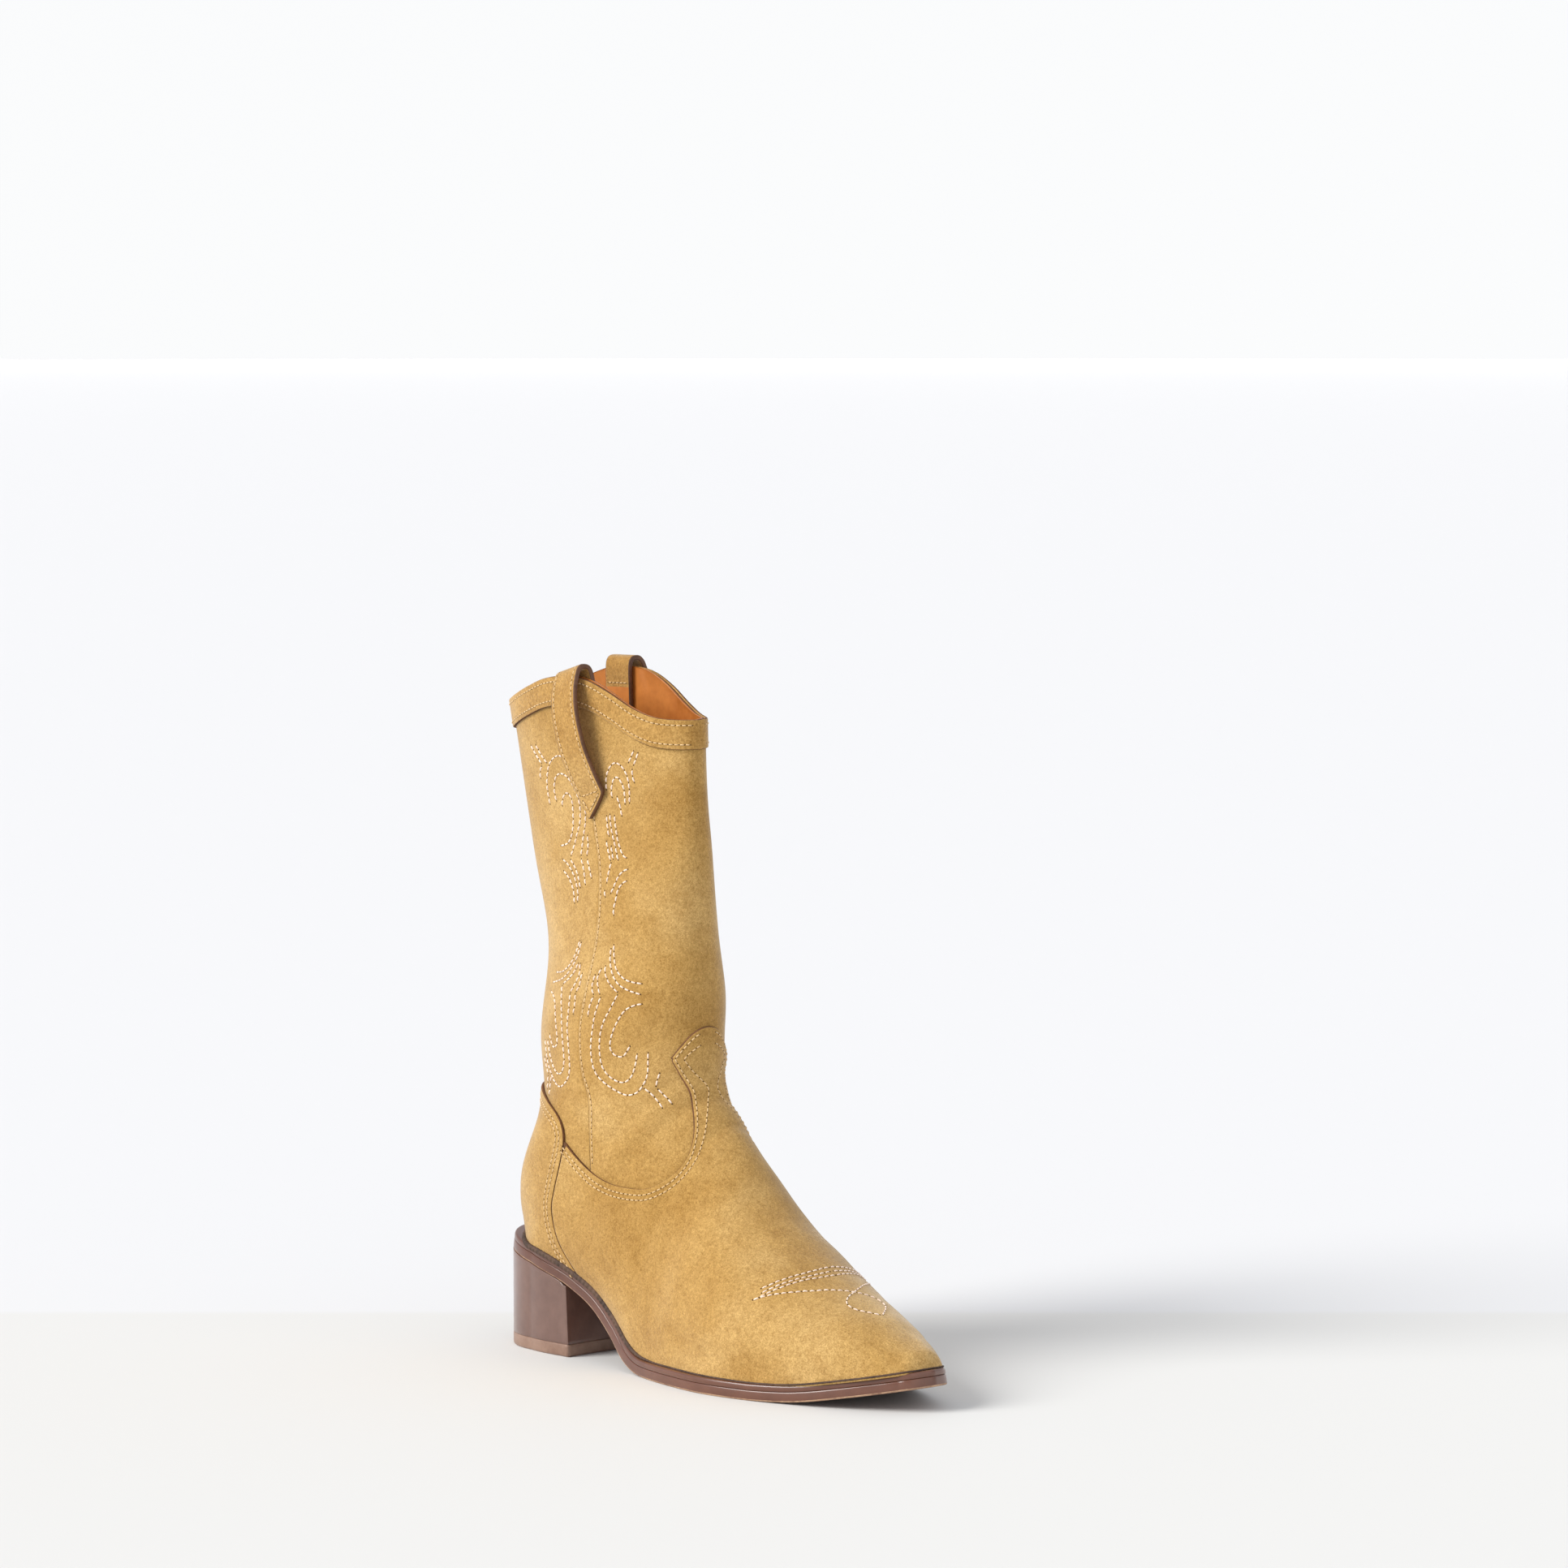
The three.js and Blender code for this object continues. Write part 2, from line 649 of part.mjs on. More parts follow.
// A strap is a looped band: outer leg, turn over the topline, inner leg. The path is drawn in
// the (height, outward) plane, then leaned to follow the seam; `tip` puts its point off centre.
function pullStrap({ side, top, foot, tip, reach, inner }) {
  const axis = new THREE.Vector3(top[0] - foot[0], 0, top[1] - foot[1]);
  const length = axis.length();
  const skin = 18 + LEATHER + 2 * GAP;
  const inside = 18 - INSIDE - 0.2;
  const half = STRAP.thick / 2;
  const path = smooth([
    [0, skin + half], [length * 0.14, skin + half + 0.8], [length * 0.42, skin + half + STRAP.bow],
    [length * 0.78, skin + half + STRAP.bow - 0.5], [length + reach - 5, skin + half + 1.8],
    [length + reach - half, (skin + inside) / 2], [length + reach - 6, inside - half - 1],
    [length - 12, inside - half - 1.5], [length - inner, inside - half],
  ], 4);
  const band = path.map(([s, out], i) => {
    const a = path[Math.max(0, i - 1)];
    const b = path[Math.min(path.length - 1, i + 1)];
    const size = Math.hypot(b[0] - a[0], b[1] - a[1]);
    return { s, out, ns: -(b[1] - a[1]) / size, no: (b[0] - a[0]) / size };
  });
  const outline = [
    ...band.map((p) => [p.s + half * p.ns, p.out + half * p.no]),
    ...band.reverse().map((p) => [p.s - half * p.ns, p.out - half * p.no]),
  ];
  const geometry = extrude(outline, STRAP.width);
  geometry.translate(0, 0, -STRAP.width / 2);
  const up = axis.clone().normalize();
  const out = new THREE.Vector3(0, side, 0);
  const across = up.clone().cross(out);
  const upright = new THREE.Matrix4().makeBasis(up, out, across);
  geometry.applyMatrix4(upright.setPosition(foot[0], 0, foot[1]));
  const point = extrude([[0, tip], [9, 8.6], [200, 8.6], [200, -8.6], [9, -8.6]], 2 * REACH);
  point.translate(0, 0, -REACH);
  const flat = new THREE.Matrix4().makeBasis(up, across.clone().negate(), out);
  point.applyMatrix4(flat.setPosition(foot[0], 0, foot[1]));
  return toSolid(geometry).intersect(toSolid(point)).subtract(strapKeepOut());
}

// ---------------------------------------------------------------- zip pieces
function zipTeeth(from, to) {
  return filled(-0.5).subtract(filled(LEATHER)).intersect(zipStrip(from, to, 0.005, 0.985, 24));
}

function zipTape(from, to) {
  const sheet = filled(LINING_FACE).subtract(filled(LINING_FACE + 0.7));
  return sheet.intersect(zipStrip(from, to, -0.04, 1.02));
}

function bottomStop() {
  const strip = zipStrip(-TEETH_HALF, TEETH_HALF, 0.989, 1.008, 1);
  return filled(-0.6).subtract(filled(LEATHER)).intersect(strip);
}

// Frame of the slider at rest: up along the tooth line, out from the leather, across it.
const SLIDER_SHARE = 0.045;
const sliderSeat = zipPoint(SLIDER_SHARE);
const sliderUp = zipPoint(SLIDER_SHARE - 0.01).sub(zipPoint(SLIDER_SHARE + 0.01)).normalize();
const sliderRadial = sliderSeat.clone().sub(zipCentre).normalize();
const sliderOut = zipAxis.clone().multiplyScalar(0.96 * Math.sign(zipAxis.y));
sliderOut.addScaledVector(sliderRadial, -0.28);
sliderOut.normalize();
const sliderAcross = sliderUp.clone().cross(sliderOut).normalize();

// Prism in the slider's frame: an outline of [across, up] points, from `low` to `high` outward.
function sliderPrism(points, low, high) {
  const geometry = extrude(points, high - low);
  geometry.translate(0, 0, low);
  const basis = new THREE.Matrix4().makeBasis(sliderAcross, sliderUp, sliderOut);
  geometry.applyMatrix4(basis.setPosition(sliderSeat));
  return toSolid(geometry);
}

// Prism across the slider: an outline of [up, out] points, from `low` to `high` across.
function sliderSidePrism(points, low, high) {
  const geometry = extrude(points, high - low);
  geometry.translate(0, 0, low);
  const basis = new THREE.Matrix4().makeBasis(sliderUp, sliderOut, sliderAcross);
  geometry.applyMatrix4(basis.setPosition(sliderSeat));
  return toSolid(geometry);
}

const rectangle = (x0, x1, y0, y1) => [[x0, y0], [x1, y0], [x1, y1], [x0, y1]];
const PLATE = { low: 1.4, high: 2.6 };
const PIVOT = { up: 2.9, out: 4.1 };     // centre of the puller's top bar
const PULLER = { thick: 1.2, half: 4, neck: 3.4, slot: 1.25, top: 3.7, end: -25.5 };

function zipSlider() {
  const outline = [
    [-2.4, -5.5], [2.4, -5.5], [4.1, 0.5], [4.1, 3.5],
    [1.2, 5.8], [-1.2, 5.8], [-4.1, 3.5], [-4.1, 0.5],
  ];
  const plate = sliderPrism(outline, PLATE.low, PLATE.high);
  const leftFlange = sliderPrism(rectangle(-3.6, -2.95, -2, 3.2), -0.2, PLATE.low + 0.2);
  const rightFlange = sliderPrism(rectangle(2.95, 3.6, -2, 3.2), -0.2, PLATE.low + 0.2);
  const arch = [
    [-4.4, 2.4], [-4.4, 4.4], [-1.5, 6.4], [3.4, 6.6], [5.5, 5], [5.5, 2.4],
    [4.3, 2.4], [4.3, 4.6], [3.2, 5.4], [-0.8, 5.4], [-3.2, 3.8], [-3.2, 2.4],
  ];
  const bridge = sliderSidePrism(arch, -0.9, 0.9);
  return plate.add(leftFlange).add(rightFlange).add(bridge);
}

function zipPuller() {
  const { half, neck, slot, top, end } = PULLER;
  const outline = [
    [-neck, top], [-neck, -9], [-half, -11], [-half, end + 1], [-half + 1, end],
    [half - 1, end], [half, end + 1], [half, -11], [neck, -9], [neck, top],
  ];
  const low = PIVOT.out - PULLER.thick / 2;
  const high = PIVOT.out + PULLER.thick / 2;
  const window = sliderPrism(rectangle(-slot, slot, -8, top - 1.6), low - 1, high + 1);
  const grip = sliderPrism(rectangle(-1.6, 1.6, end + 3, end + 8), low - 1, high + 1);
  return sliderPrism(outline.reverse(), low, high).subtract(window).subtract(grip);
}

// ---------------------------------------------------------------- materials and assembly
function material(color, roughness, metalness = 0) {
  return new THREE.MeshStandardMaterial({ color, roughness, metalness });
}

const suede = material(0xc19a55, 0.95);
const suedeStrap = material(0xb98f4e, 0.95);
const liningLeather = material(0xcd8450, 0.55);
const soleLeather = material(0x6b443a, 0.35);
const liftRubber = material(0x8c5747, 0.45);
const randThread = material(0x4b3228, 0.6);
const cork = material(0xa57a4e, 0.9);
const board = material(0xb99b70, 0.85);
const steel = material(0x9a9a98, 0.35, 0.9);
const stiffener = material(0xd8cdb8, 0.7);
const tapeCloth = material(0x2c261f, 0.85);
const coil = material(0x7a6b48, 0.5, 0.3);
const brass = material(0x8a713f, 0.35, 0.9);
const pullerMetal = material(0x96918a, 0.35, 0.9);

const boot = new THREE.Group();

function piece(name, solid, finish) {
  const mesh = new THREE.Mesh(toGeometry(solid), finish);
  mesh.name = name;
  boot.add(mesh);
}

const LATERAL_STRAP = { side: -1, top: [47.5, 301], foot: [64.5, 240.5], tip: -4, reach: 4.2, inner: 34 };
const MEDIAL_STRAP = { side: 1, top: [40, 304], foot: [41, 242.5], tip: 0, reach: 5.2, inner: 34 };

piece("outsole", outsole(), soleLeather);
piece("welt", welt(), soleLeather);
piece("rand", rand(), randThread);
piece("heel_block", heelBlock(), soleLeather);
piece("top_lift", topLift(), liftRubber);
piece("shank", shank(), steel);
piece("cork_filler", corkFiller(), cork);
piece("insole_board", insideSlab(GAP, GAP + BOARD), board);
piece("sock_lining", insideSlab(2 * GAP + BOARD, 2 * GAP + BOARD + SOCK), liningLeather);
NAILS.forEach((place, i) => piece(`heel_nail_${i + 1}`, nail(place), steel));
piece("vamp", vamp(), suede);
piece("heel_counter_cover", counterCover(), suede);
piece("counter_stiffener", counterStiffener(), stiffener);
piece("toe_puff", toePuff(), stiffener);
piece("shaft_front", shaftPanel(frontRegion(GAP / 2)), suede);
piece("shaft_back", shaftPanel(behind(-GAP / 2)).subtract(counterRegion(9)), suede);
piece("collar_front", collar(frontRegion(GAP / 2)), suede);
piece("collar_back", collar(behind(-GAP / 2)), suede);
piece("lining_front", liningFront(), liningLeather);
piece("lining_back", liningBack(), liningLeather);
piece("vamp_lining", vampLining(), liningLeather);
piece("pull_strap_lateral", pullStrap(LATERAL_STRAP), suedeStrap);
piece("pull_strap_medial", pullStrap(MEDIAL_STRAP), suedeStrap);
piece("zip_tape_front", zipTape(GAP / 2, TAPE_HALF), tapeCloth);
piece("zip_tape_rear", zipTape(-TAPE_HALF, -GAP / 2), tapeCloth);
piece("zip_teeth_front", zipTeeth(GAP / 2, TEETH_HALF), coil);
piece("zip_teeth_rear", zipTeeth(-TEETH_HALF, -GAP / 2), coil);
piece("zip_bottom_stop", bottomStop(), brass);
piece("zip_slider", zipSlider(), brass);
piece("zip_puller", zipPuller(), pullerMetal);

// The origin is the middle of the base.
const bounds = new THREE.Box3().setFromObject(boot);
const middle = bounds.getCenter(new THREE.Vector3());
boot.position.set(-middle.x, -middle.y, -bounds.min.z);

export default boot;
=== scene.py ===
"""A western mid-calf boot in golden suede, with a side zip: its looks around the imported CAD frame."""
import math

import bmesh
import bpy
import numpy as np
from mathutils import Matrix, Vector


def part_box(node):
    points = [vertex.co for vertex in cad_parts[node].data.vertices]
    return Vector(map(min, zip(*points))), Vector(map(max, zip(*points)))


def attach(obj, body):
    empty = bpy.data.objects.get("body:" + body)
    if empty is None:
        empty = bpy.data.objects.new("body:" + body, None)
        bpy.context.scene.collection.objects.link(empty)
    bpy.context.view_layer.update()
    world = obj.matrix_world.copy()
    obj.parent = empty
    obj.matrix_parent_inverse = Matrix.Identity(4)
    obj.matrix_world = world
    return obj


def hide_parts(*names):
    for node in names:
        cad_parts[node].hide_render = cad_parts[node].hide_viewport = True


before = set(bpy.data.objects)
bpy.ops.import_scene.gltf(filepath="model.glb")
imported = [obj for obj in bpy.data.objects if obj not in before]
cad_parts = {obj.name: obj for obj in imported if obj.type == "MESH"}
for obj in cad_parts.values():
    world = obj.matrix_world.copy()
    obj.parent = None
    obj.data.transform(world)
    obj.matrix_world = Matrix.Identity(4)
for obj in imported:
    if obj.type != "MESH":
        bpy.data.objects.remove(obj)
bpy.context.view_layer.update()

# ---------------------------------------------------------------- sizes, in millimetres
# The boot is worked out in its own frame: x from the heel back to the toe, y to the inner side.
NAIL_PLACE = np.array([15.0, -9.0])
nail_low, nail_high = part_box("heel_nail_1")
SHIFT = np.array([
    (nail_low.x + nail_high.x) * 500 - NAIL_PLACE[0],
    (nail_low.y + nail_high.y) * 500 - NAIL_PLACE[1],
    0.0,
])

COVER = -1.5            # depth of the outer face of vamp, counter cover and collar
COVER_BACK = -0.25
SHAFT_FRONT_FACE = -0.3
SHAFT_BACK_FACE = 0.05
SHAFT_INNER = 0.9
LINING_OUTER = 1.0
LINING_INNER = 1.8
EDGE_ROUND = 0.55       # radius of a cut leather edge

OUTSOLE = 4.5
SOLE = 7.3
SOLE_EDGE = 4.0
WELT_RING = 9.0
BREAST_X = 54.0
TOP_LIFT = 5.6
COLLAR = 13.0
STRAP_WIDTH = 16.5
STRAP_THICK = 2.2

ZIP_TOP = np.array([42, 18.6, 231.0])
ZIP_BOTTOM = np.array([36.5, 29.8, 96.0])
ZIP_SAG = 5.2
ZIP_BOW = np.array([-0.84, -0.54, 0.0])
TEETH_HALF = 2.6
SLOT_HALF = 3.9
TAPE_HALF = 11.5
SLIDER_SHARE = 0.045

ROWS = 250              # sections along the boot
COLUMNS = 132           # points round each section

# v, Fx, Fz, Bx, Bz, lateral width, medial width, belly, crown
STATIONS = [
    [0.00, 252.2, 21.0, 254.2, 12.5, 2.0, 2.0, 0.30, 2.2],
    [0.02, 249.8, 23.6, 253.2, 12, 7.8, 7.4, 0.30, 2.3],
    [0.05, 244.5, 26.0, 250.4, 11, 12.5, 11.4, 0.32, 2.3],
    [0.12, 231, 32.2, 238.5, 8, 20.8, 18.4, 0.33, 2.2],
    [0.22, 209, 42.5, 215, 4, 32, 27.5, 0.33, 2.0],
    [0.32, 185, 55.5, 188, 3, 39.5, 33.5, 0.32, 1.9],
    [0.42, 163, 70.5, 160, 3, 43, 35.5, 0.30, 1.85],
    [0.50, 147, 86, 132, 3, 40, 35, 0.30, 1.85],
    [0.57, 134, 101, 104, 4, 35, 34, 0.30, 1.85],
    [0.63, 124, 114, 74, 24, 33.5, 33.5, 0.33, 1.9],
    [0.68, 118, 126, 40, 36, 33, 33, 0.38, 2.0],
    [0.72, 116.5, 138, 12, 44, 32.5, 32.5, 0.42, 2.1],
    [0.76, 116, 152, 5, 66, 32, 32, 0.44, 2.1],
    [0.80, 116, 170, 17.5, 100, 31, 31, 0.46, 2.1],
    [0.85, 114, 195, 13, 138, 27, 27, 0.48, 2.1],
    [0.90, 113, 225, 14, 180, 21, 21, 0.50, 2.15],
    [0.95, 111, 255, 1, 225, 18, 18, 0.50, 2.2],
    [1.00, 110, 312, -20, 314, 18, 18, 0.50, 2.2],
]
BACK_STARTS = 0.70
INSIDE = 60.0           # x and z of a point inside the foot
SHAFT_FROM = 110        # height from which the upper counts as shaft

# x, lateral and medial half width of the upper's base line
PLAN = [
    [2, 0, 0], [5, 10, 10], [12, 18, 18], [28, 23.5, 23.5], [54, 24.5, 24.5], [80, 26, 25.5],
    [105, 33, 29], [135, 40, 33.5], [160, 42, 35], [185, 37.5, 33.5], [205, 31, 29.5],
    [225, 23.5, 22.5], [238.5, 16, 15.5], [248, 10, 10], [252.8, 5.5, 5.5], [254.6, 0, 0],
]
PLAN_FROM, PLAN_TO = PLAN[0][0], PLAN[-1][0]
TOE_IN = 4.0
HEEL_ROUND_X = 28.0     # where the round end of the heel starts

# x, z of the outsole's underside
TREAD = [
    [-8, 45.8], [0, 44.5], [30, 38.5], [54, 31.5], [68, 25], [82, 14.5], [95, 5],
    [107, 0.8], [118, 0], [186, 0], [205, 1], [232, 5.5], [268, 13],
]

# Side-view lines of the upper, [x, z]
RIM_LATERAL = [
    [-30, 286], [-10, 288], [12, 295], [28, 299.8], [44, 301.5],
    [58, 300], [72, 295], [86, 288.5], [100, 285], [125, 285],
]
RIM_MEDIAL = [
    [-30, 286], [-10, 289], [12, 297], [28, 302.5], [42, 304.5],
    [58, 303], [72, 297.5], [86, 290], [100, 285.5], [125, 285],
]
SEAM_LATERAL = [
    [41, 320], [44.5, 300], [60, 240], [67, 214], [69, 187],
    [65.5, 163], [64, 147], [67, 131], [72.5, 117], [73.5, 100], [77, 60],
]
VAMP_EDGE_LATERAL = [
    [58.5, 97.5], [65.5, 92], [75, 86], [88, 81.6], [102.5, 80.6], [111, 82.3],
    [119, 88], [122.6, 95], [122.2, 103], [119.5, 112], [115, 124.5], [109.5, 137.5],
]
VAMP_EDGE_MEDIAL = [
    [40.5, 88.5], [52, 84.5], [66, 82], [85, 80.6], [102.5, 80.6], [111, 82.3],
    [119, 88], [122.6, 95], [122.2, 103], [119.5, 112], [115, 124.5], [109.5, 137.5],
]
TONGUE_EDGE = [[112.5, 143.5], [115.5, 150], [120, 157], [130, 160]]
COUNTER_EDGE_LATERAL = [
    [-10, 122], [22, 118.5], [44, 113], [54.5, 107], [58.3, 99], [56, 88.5],
    [51.3, 75.5], [49, 67], [50.5, 57], [54, 49], [62, 38],
]
COUNTER_EDGE_MEDIAL = [
    [-10, 122], [14, 118], [23, 111], [27.2, 101], [29.5, 91], [35, 86.6], [41, 84],
    [46.5, 75], [48.5, 66], [50.5, 57], [54, 49], [62, 38],
]
SHAFT_FOOT = [
    [-60, 104], [20, 106], [46, 101], [60, 84], [90, 70], [118, 71], [134, 82], [152, 92], [330, 92],
]
SHAFT_FOOT_MEDIAL = [
    [-60, 104], [12, 106], [22, 98], [30, 82], [44, 75], [64, 74], [90, 70], [118, 71], [134, 82],
    [152, 92], [330, 92],
]


# ---------------------------------------------------------------- small maths
def smoothstep(low, high, value):
    t = np.clip((value - low) / (high - low), 0, 1)
    return t * t * (3 - 2 * t)


def unit(rows):
    """The same vectors with length one."""
    return rows / np.linalg.norm(rows, axis=-1, keepdims=True)


class Curve:
    """Cubic Hermite interpolation of one column of a table whose first column is the key."""

    def __init__(self, table, column=1):
        self.x = np.array([row[0] for row in table], float)
        self.y = np.array([row[column] for row in table], float)
        step = np.diff(self.x)
        slope = np.diff(self.y) / step
        tangent = np.empty_like(self.y)
        tangent[0], tangent[-1] = slope[0], slope[-1]
        tangent[1:-1] = (slope[:-1] * step[1:] + slope[1:] * step[:-1]) / (step[:-1] + step[1:])
        self.tangent = tangent

    def __call__(self, key):
        key = np.asarray(key, float)
        i = np.clip(np.searchsorted(self.x, key, side="right") - 1, 0, len(self.x) - 2)
        span = self.x[i + 1] - self.x[i]
        t = (key - self.x[i]) / span
        rise = t * t * (3 - 2 * t)
        start = t * (1 - t) ** 2 * span * self.tangent[i]
        end = t * t * (t - 1) * span * self.tangent[i + 1]
        return (1 - rise) * self.y[i] + rise * self.y[i + 1] + start + end


station = [Curve(STATIONS, k) for k in range(1, 9)]
plan_lateral, plan_medial = Curve(PLAN, 1), Curve(PLAN, 2)
tread_curve = Curve(TREAD)


def tread_at(x):
    return np.maximum(0, tread_curve(x))


def foot_centre(x):
    return TOE_IN * smoothstep(20, 150, x)


def smooth_line(points, per_span=6):
    """Points of a smooth open curve through the given points, as Catmull-Rom spans."""
    p = np.array(points, float)
    q = np.vstack([2 * p[0] - p[1], p, 2 * p[-1] - p[-2]])
    found = []
    for i in range(len(p) - 1):
        a, b, c, d = q[i], q[i + 1], q[i + 2], q[i + 3]
        for k in range(per_span):
            t = k / per_span
            found.append(0.5 * (2 * b + (c - a) * t + (2 * a - 5 * b + 4 * c - d) * t * t
                                + (3 * b - a - 3 * c + d) * t ** 3))
    found.append(p[-1])
    return np.array(found)


def to_row(points):
    return (np.asarray(points, float) + SHIFT) * 0.001


# ---------------------------------------------------------------- the upper's surface
def tangent_of(v, column):
    step = 0.004
    low, high = np.maximum(0, v - step), np.minimum(1, v + step)
    dx = station[column](high) - station[column](low)
    dz = station[column + 1](high) - station[column + 1](low)
    length = np.hypot(dx, dz)
    return dx / length, dz / length


def chord(v, depth):
    """Side-view ends of the section at v: front ridge and back or base."""
    fx, fz = station[0](v), station[1](v)
    bx, bz = station[2](v), station[3](v)
    tx, tz = tangent_of(v, 0)
    front = fx - depth * tz, fz + depth * tx
    climb = smoothstep(BACK_STARTS - 0.02, BACK_STARTS + 0.05, v)
    ux, uz = tangent_of(v, 2)
    back_x = bx + depth * uz * climb - depth * np.clip((bx - 215) / 40, 0, 1)
    back_z = bz - depth * ux * climb
    return front, (back_x, back_z), bx


def wobble(v, p):
    """Soft unevenness of worn leather, as a change of depth."""
    slow = 0.45 * np.sin(23 * v + 2.3 * p) * np.sin(2.9 * p - 9 * v + 0.7)
    fine = 0.18 * np.sin(61 * v - 4.1 * p + 1.3) * np.sin(7.3 * p + 17 * v)
    creases = 0.0
    for at, lean, deep in ((0.60, 0.010, 0.55), (0.655, -0.012, 0.7), (0.705, 0.008, 0.5)):
        away = (v - at - lean * (p - 2)) / 0.011
        creases = creases + deep * np.exp(-away ** 2) * np.exp(-((p - 2) / 1.25) ** 4)
    from_back = np.minimum(p, 4 - p)
    at_ankle = np.exp(-((v - 0.79) / 0.05) ** 2) * np.exp(-(from_back / 0.7) ** 2)
    ankle = 0.3 * (np.sin(95 * v + 1.1 * p) - 1) * at_ankle
    ends = np.clip(np.minimum(v / 0.06, (1 - v) / 0.12), 0, 1) * np.clip(from_back / 0.25, 0, 1)
    return (np.minimum(slow + fine, 0.25) + creases + ankle) * ends


def skin(v, p, depth, plain=False):
    """Points of the boot's surface: v from the toe to the topline, p from the lateral base (0)
    over the front ridge (2) to the medial base (4), `depth` inside the shaft's outer face."""
    v, p = np.broadcast_arrays(np.asarray(v, float), np.asarray(p, float))
    depth = np.broadcast_to(np.asarray(depth, float), v.shape)
    if not plain:
        depth = depth + wobble(v, p)
    front, back, base_x = chord(v, depth)
    sign = np.where(p <= 2, -1.0, 1.0)
    q = np.where(p <= 2, p, 4 - p)
    clamped = np.clip(base_x, PLAN_FROM, PLAN_TO)
    base = np.where(p <= 2, plan_lateral(clamped), plan_medial(clamped))
    width = np.maximum(0.5, np.where(p <= 2, station[4](v), station[5](v)) - depth)
    fade = np.sqrt(np.clip((BACK_STARTS + 0.035 - v) / 0.03, 0, 1))
    foot = np.clip((base - depth) / width * fade, 0, 1)
    belly, crown = station[6](v), station[7](v)
    low = np.clip(q, 0, 1) * math.pi / 2
    high = np.clip(q - 1, 0, 1) * math.pi / 2
    swell = 2.1
    share_low = (1 - (1 - foot ** swell) * np.cos(low) ** swell) ** (1 / swell)
    share_high = np.cos(high).clip(0) ** (2 / crown)
    t = np.where(q <= 1, belly * (1 - np.cos(low)), belly + (1 - belly) * np.sin(high) ** (2 / crown))
    half = width * np.where(q <= 1, share_low, share_high)
    x = back[0] + t * (front[0] - back[0])
    z = back[1] + t * (front[1] - back[1])
    return np.stack([x, foot_centre(base_x) + sign * half, z], -1)


def find_on_skin(line, side, depth=0.0):
    """(v, p) of side-view points [x, z] on the lateral (-1) or medial (1) face, and which exist."""
    line = np.asarray(line, float)
    keys = np.linspace(0, 1, 1201)
    front, back, _ = chord(keys, np.full(keys.shape, float(depth)))
    ex, ez = front[0] - back[0], front[1] - back[1]
    rx, rz = line[:, :1] - back[0], line[:, 1:] - back[1]
    cross = ex * rz - ez * rx
    change = (cross[:, :-1] > 0) & (cross[:, 1:] <= 0)
    exists = change.any(1)
    i = change.argmax(1)
    row = np.arange(len(line))
    w = cross[row, i] / (cross[row, i] - cross[row, i + 1] + 1e-12)
    v = keys[i] + w * (keys[1] - keys[0])
    front, back, _ = chord(v, np.full(v.shape, float(depth)))
    ex, ez = front[0] - back[0], front[1] - back[1]
    t = ((line[:, 0] - back[0]) * ex + (line[:, 1] - back[1]) * ez) / (ex ** 2 + ez ** 2)
    exists &= (t > 0) & (t < 1)
    belly, crown = station[6](v), station[7](v)
    low = np.arccos(np.clip(1 - t / belly, 0, 1)) / (math.pi / 2)
    high = 1 + np.arcsin(np.clip((t - belly) / (1 - belly), 0, 1) ** (crown / 2)) / (math.pi / 2)
    q = np.where(t <= belly, low, high)
    return v, np.where(side < 0, q, 4 - q), exists


def normal_at(v, p, depth):
    """Outward unit normals of the surface."""
    dv = skin(np.minimum(1, v + 0.002), p, depth) - skin(np.maximum(0, v - 0.002), p, depth)
    dp = skin(v, np.minimum(4, p + 0.01), depth) - skin(v, np.maximum(0, p - 0.01), depth)
    n = np.cross(dv, dp)
    n /= np.linalg.norm(n, axis=-1, keepdims=True) + 1e-12
    here = skin(v, p, depth)
    in_foot = np.array([INSIDE, foot_centre(INSIDE), INSIDE])
    in_shaft = np.stack([np.full(v.shape, INSIDE), np.zeros(v.shape), here[..., 2]], -1)
    outward = here - np.where(here[..., 2:3] > SHAFT_FROM, in_shaft, in_foot)
    return n * np.sign((n * outward).sum(-1, keepdims=True) + 1e-12)


# ---------------------------------------------------------------- cutting patches of the surface
def boundary_of(tris):
    """Directed edges that only one triangle uses."""
    edges = np.vstack([tris[:, [0, 1]], tris[:, [1, 2]], tris[:, [2, 0]]])
    size = edges.max() + 1
    key = np.minimum(edges[:, 0], edges[:, 1]) * size + np.maximum(edges[:, 0], edges[:, 1])
    _, inverse, count = np.unique(key, return_inverse=True, return_counts=True)
    return edges[count[inverse] == 1]


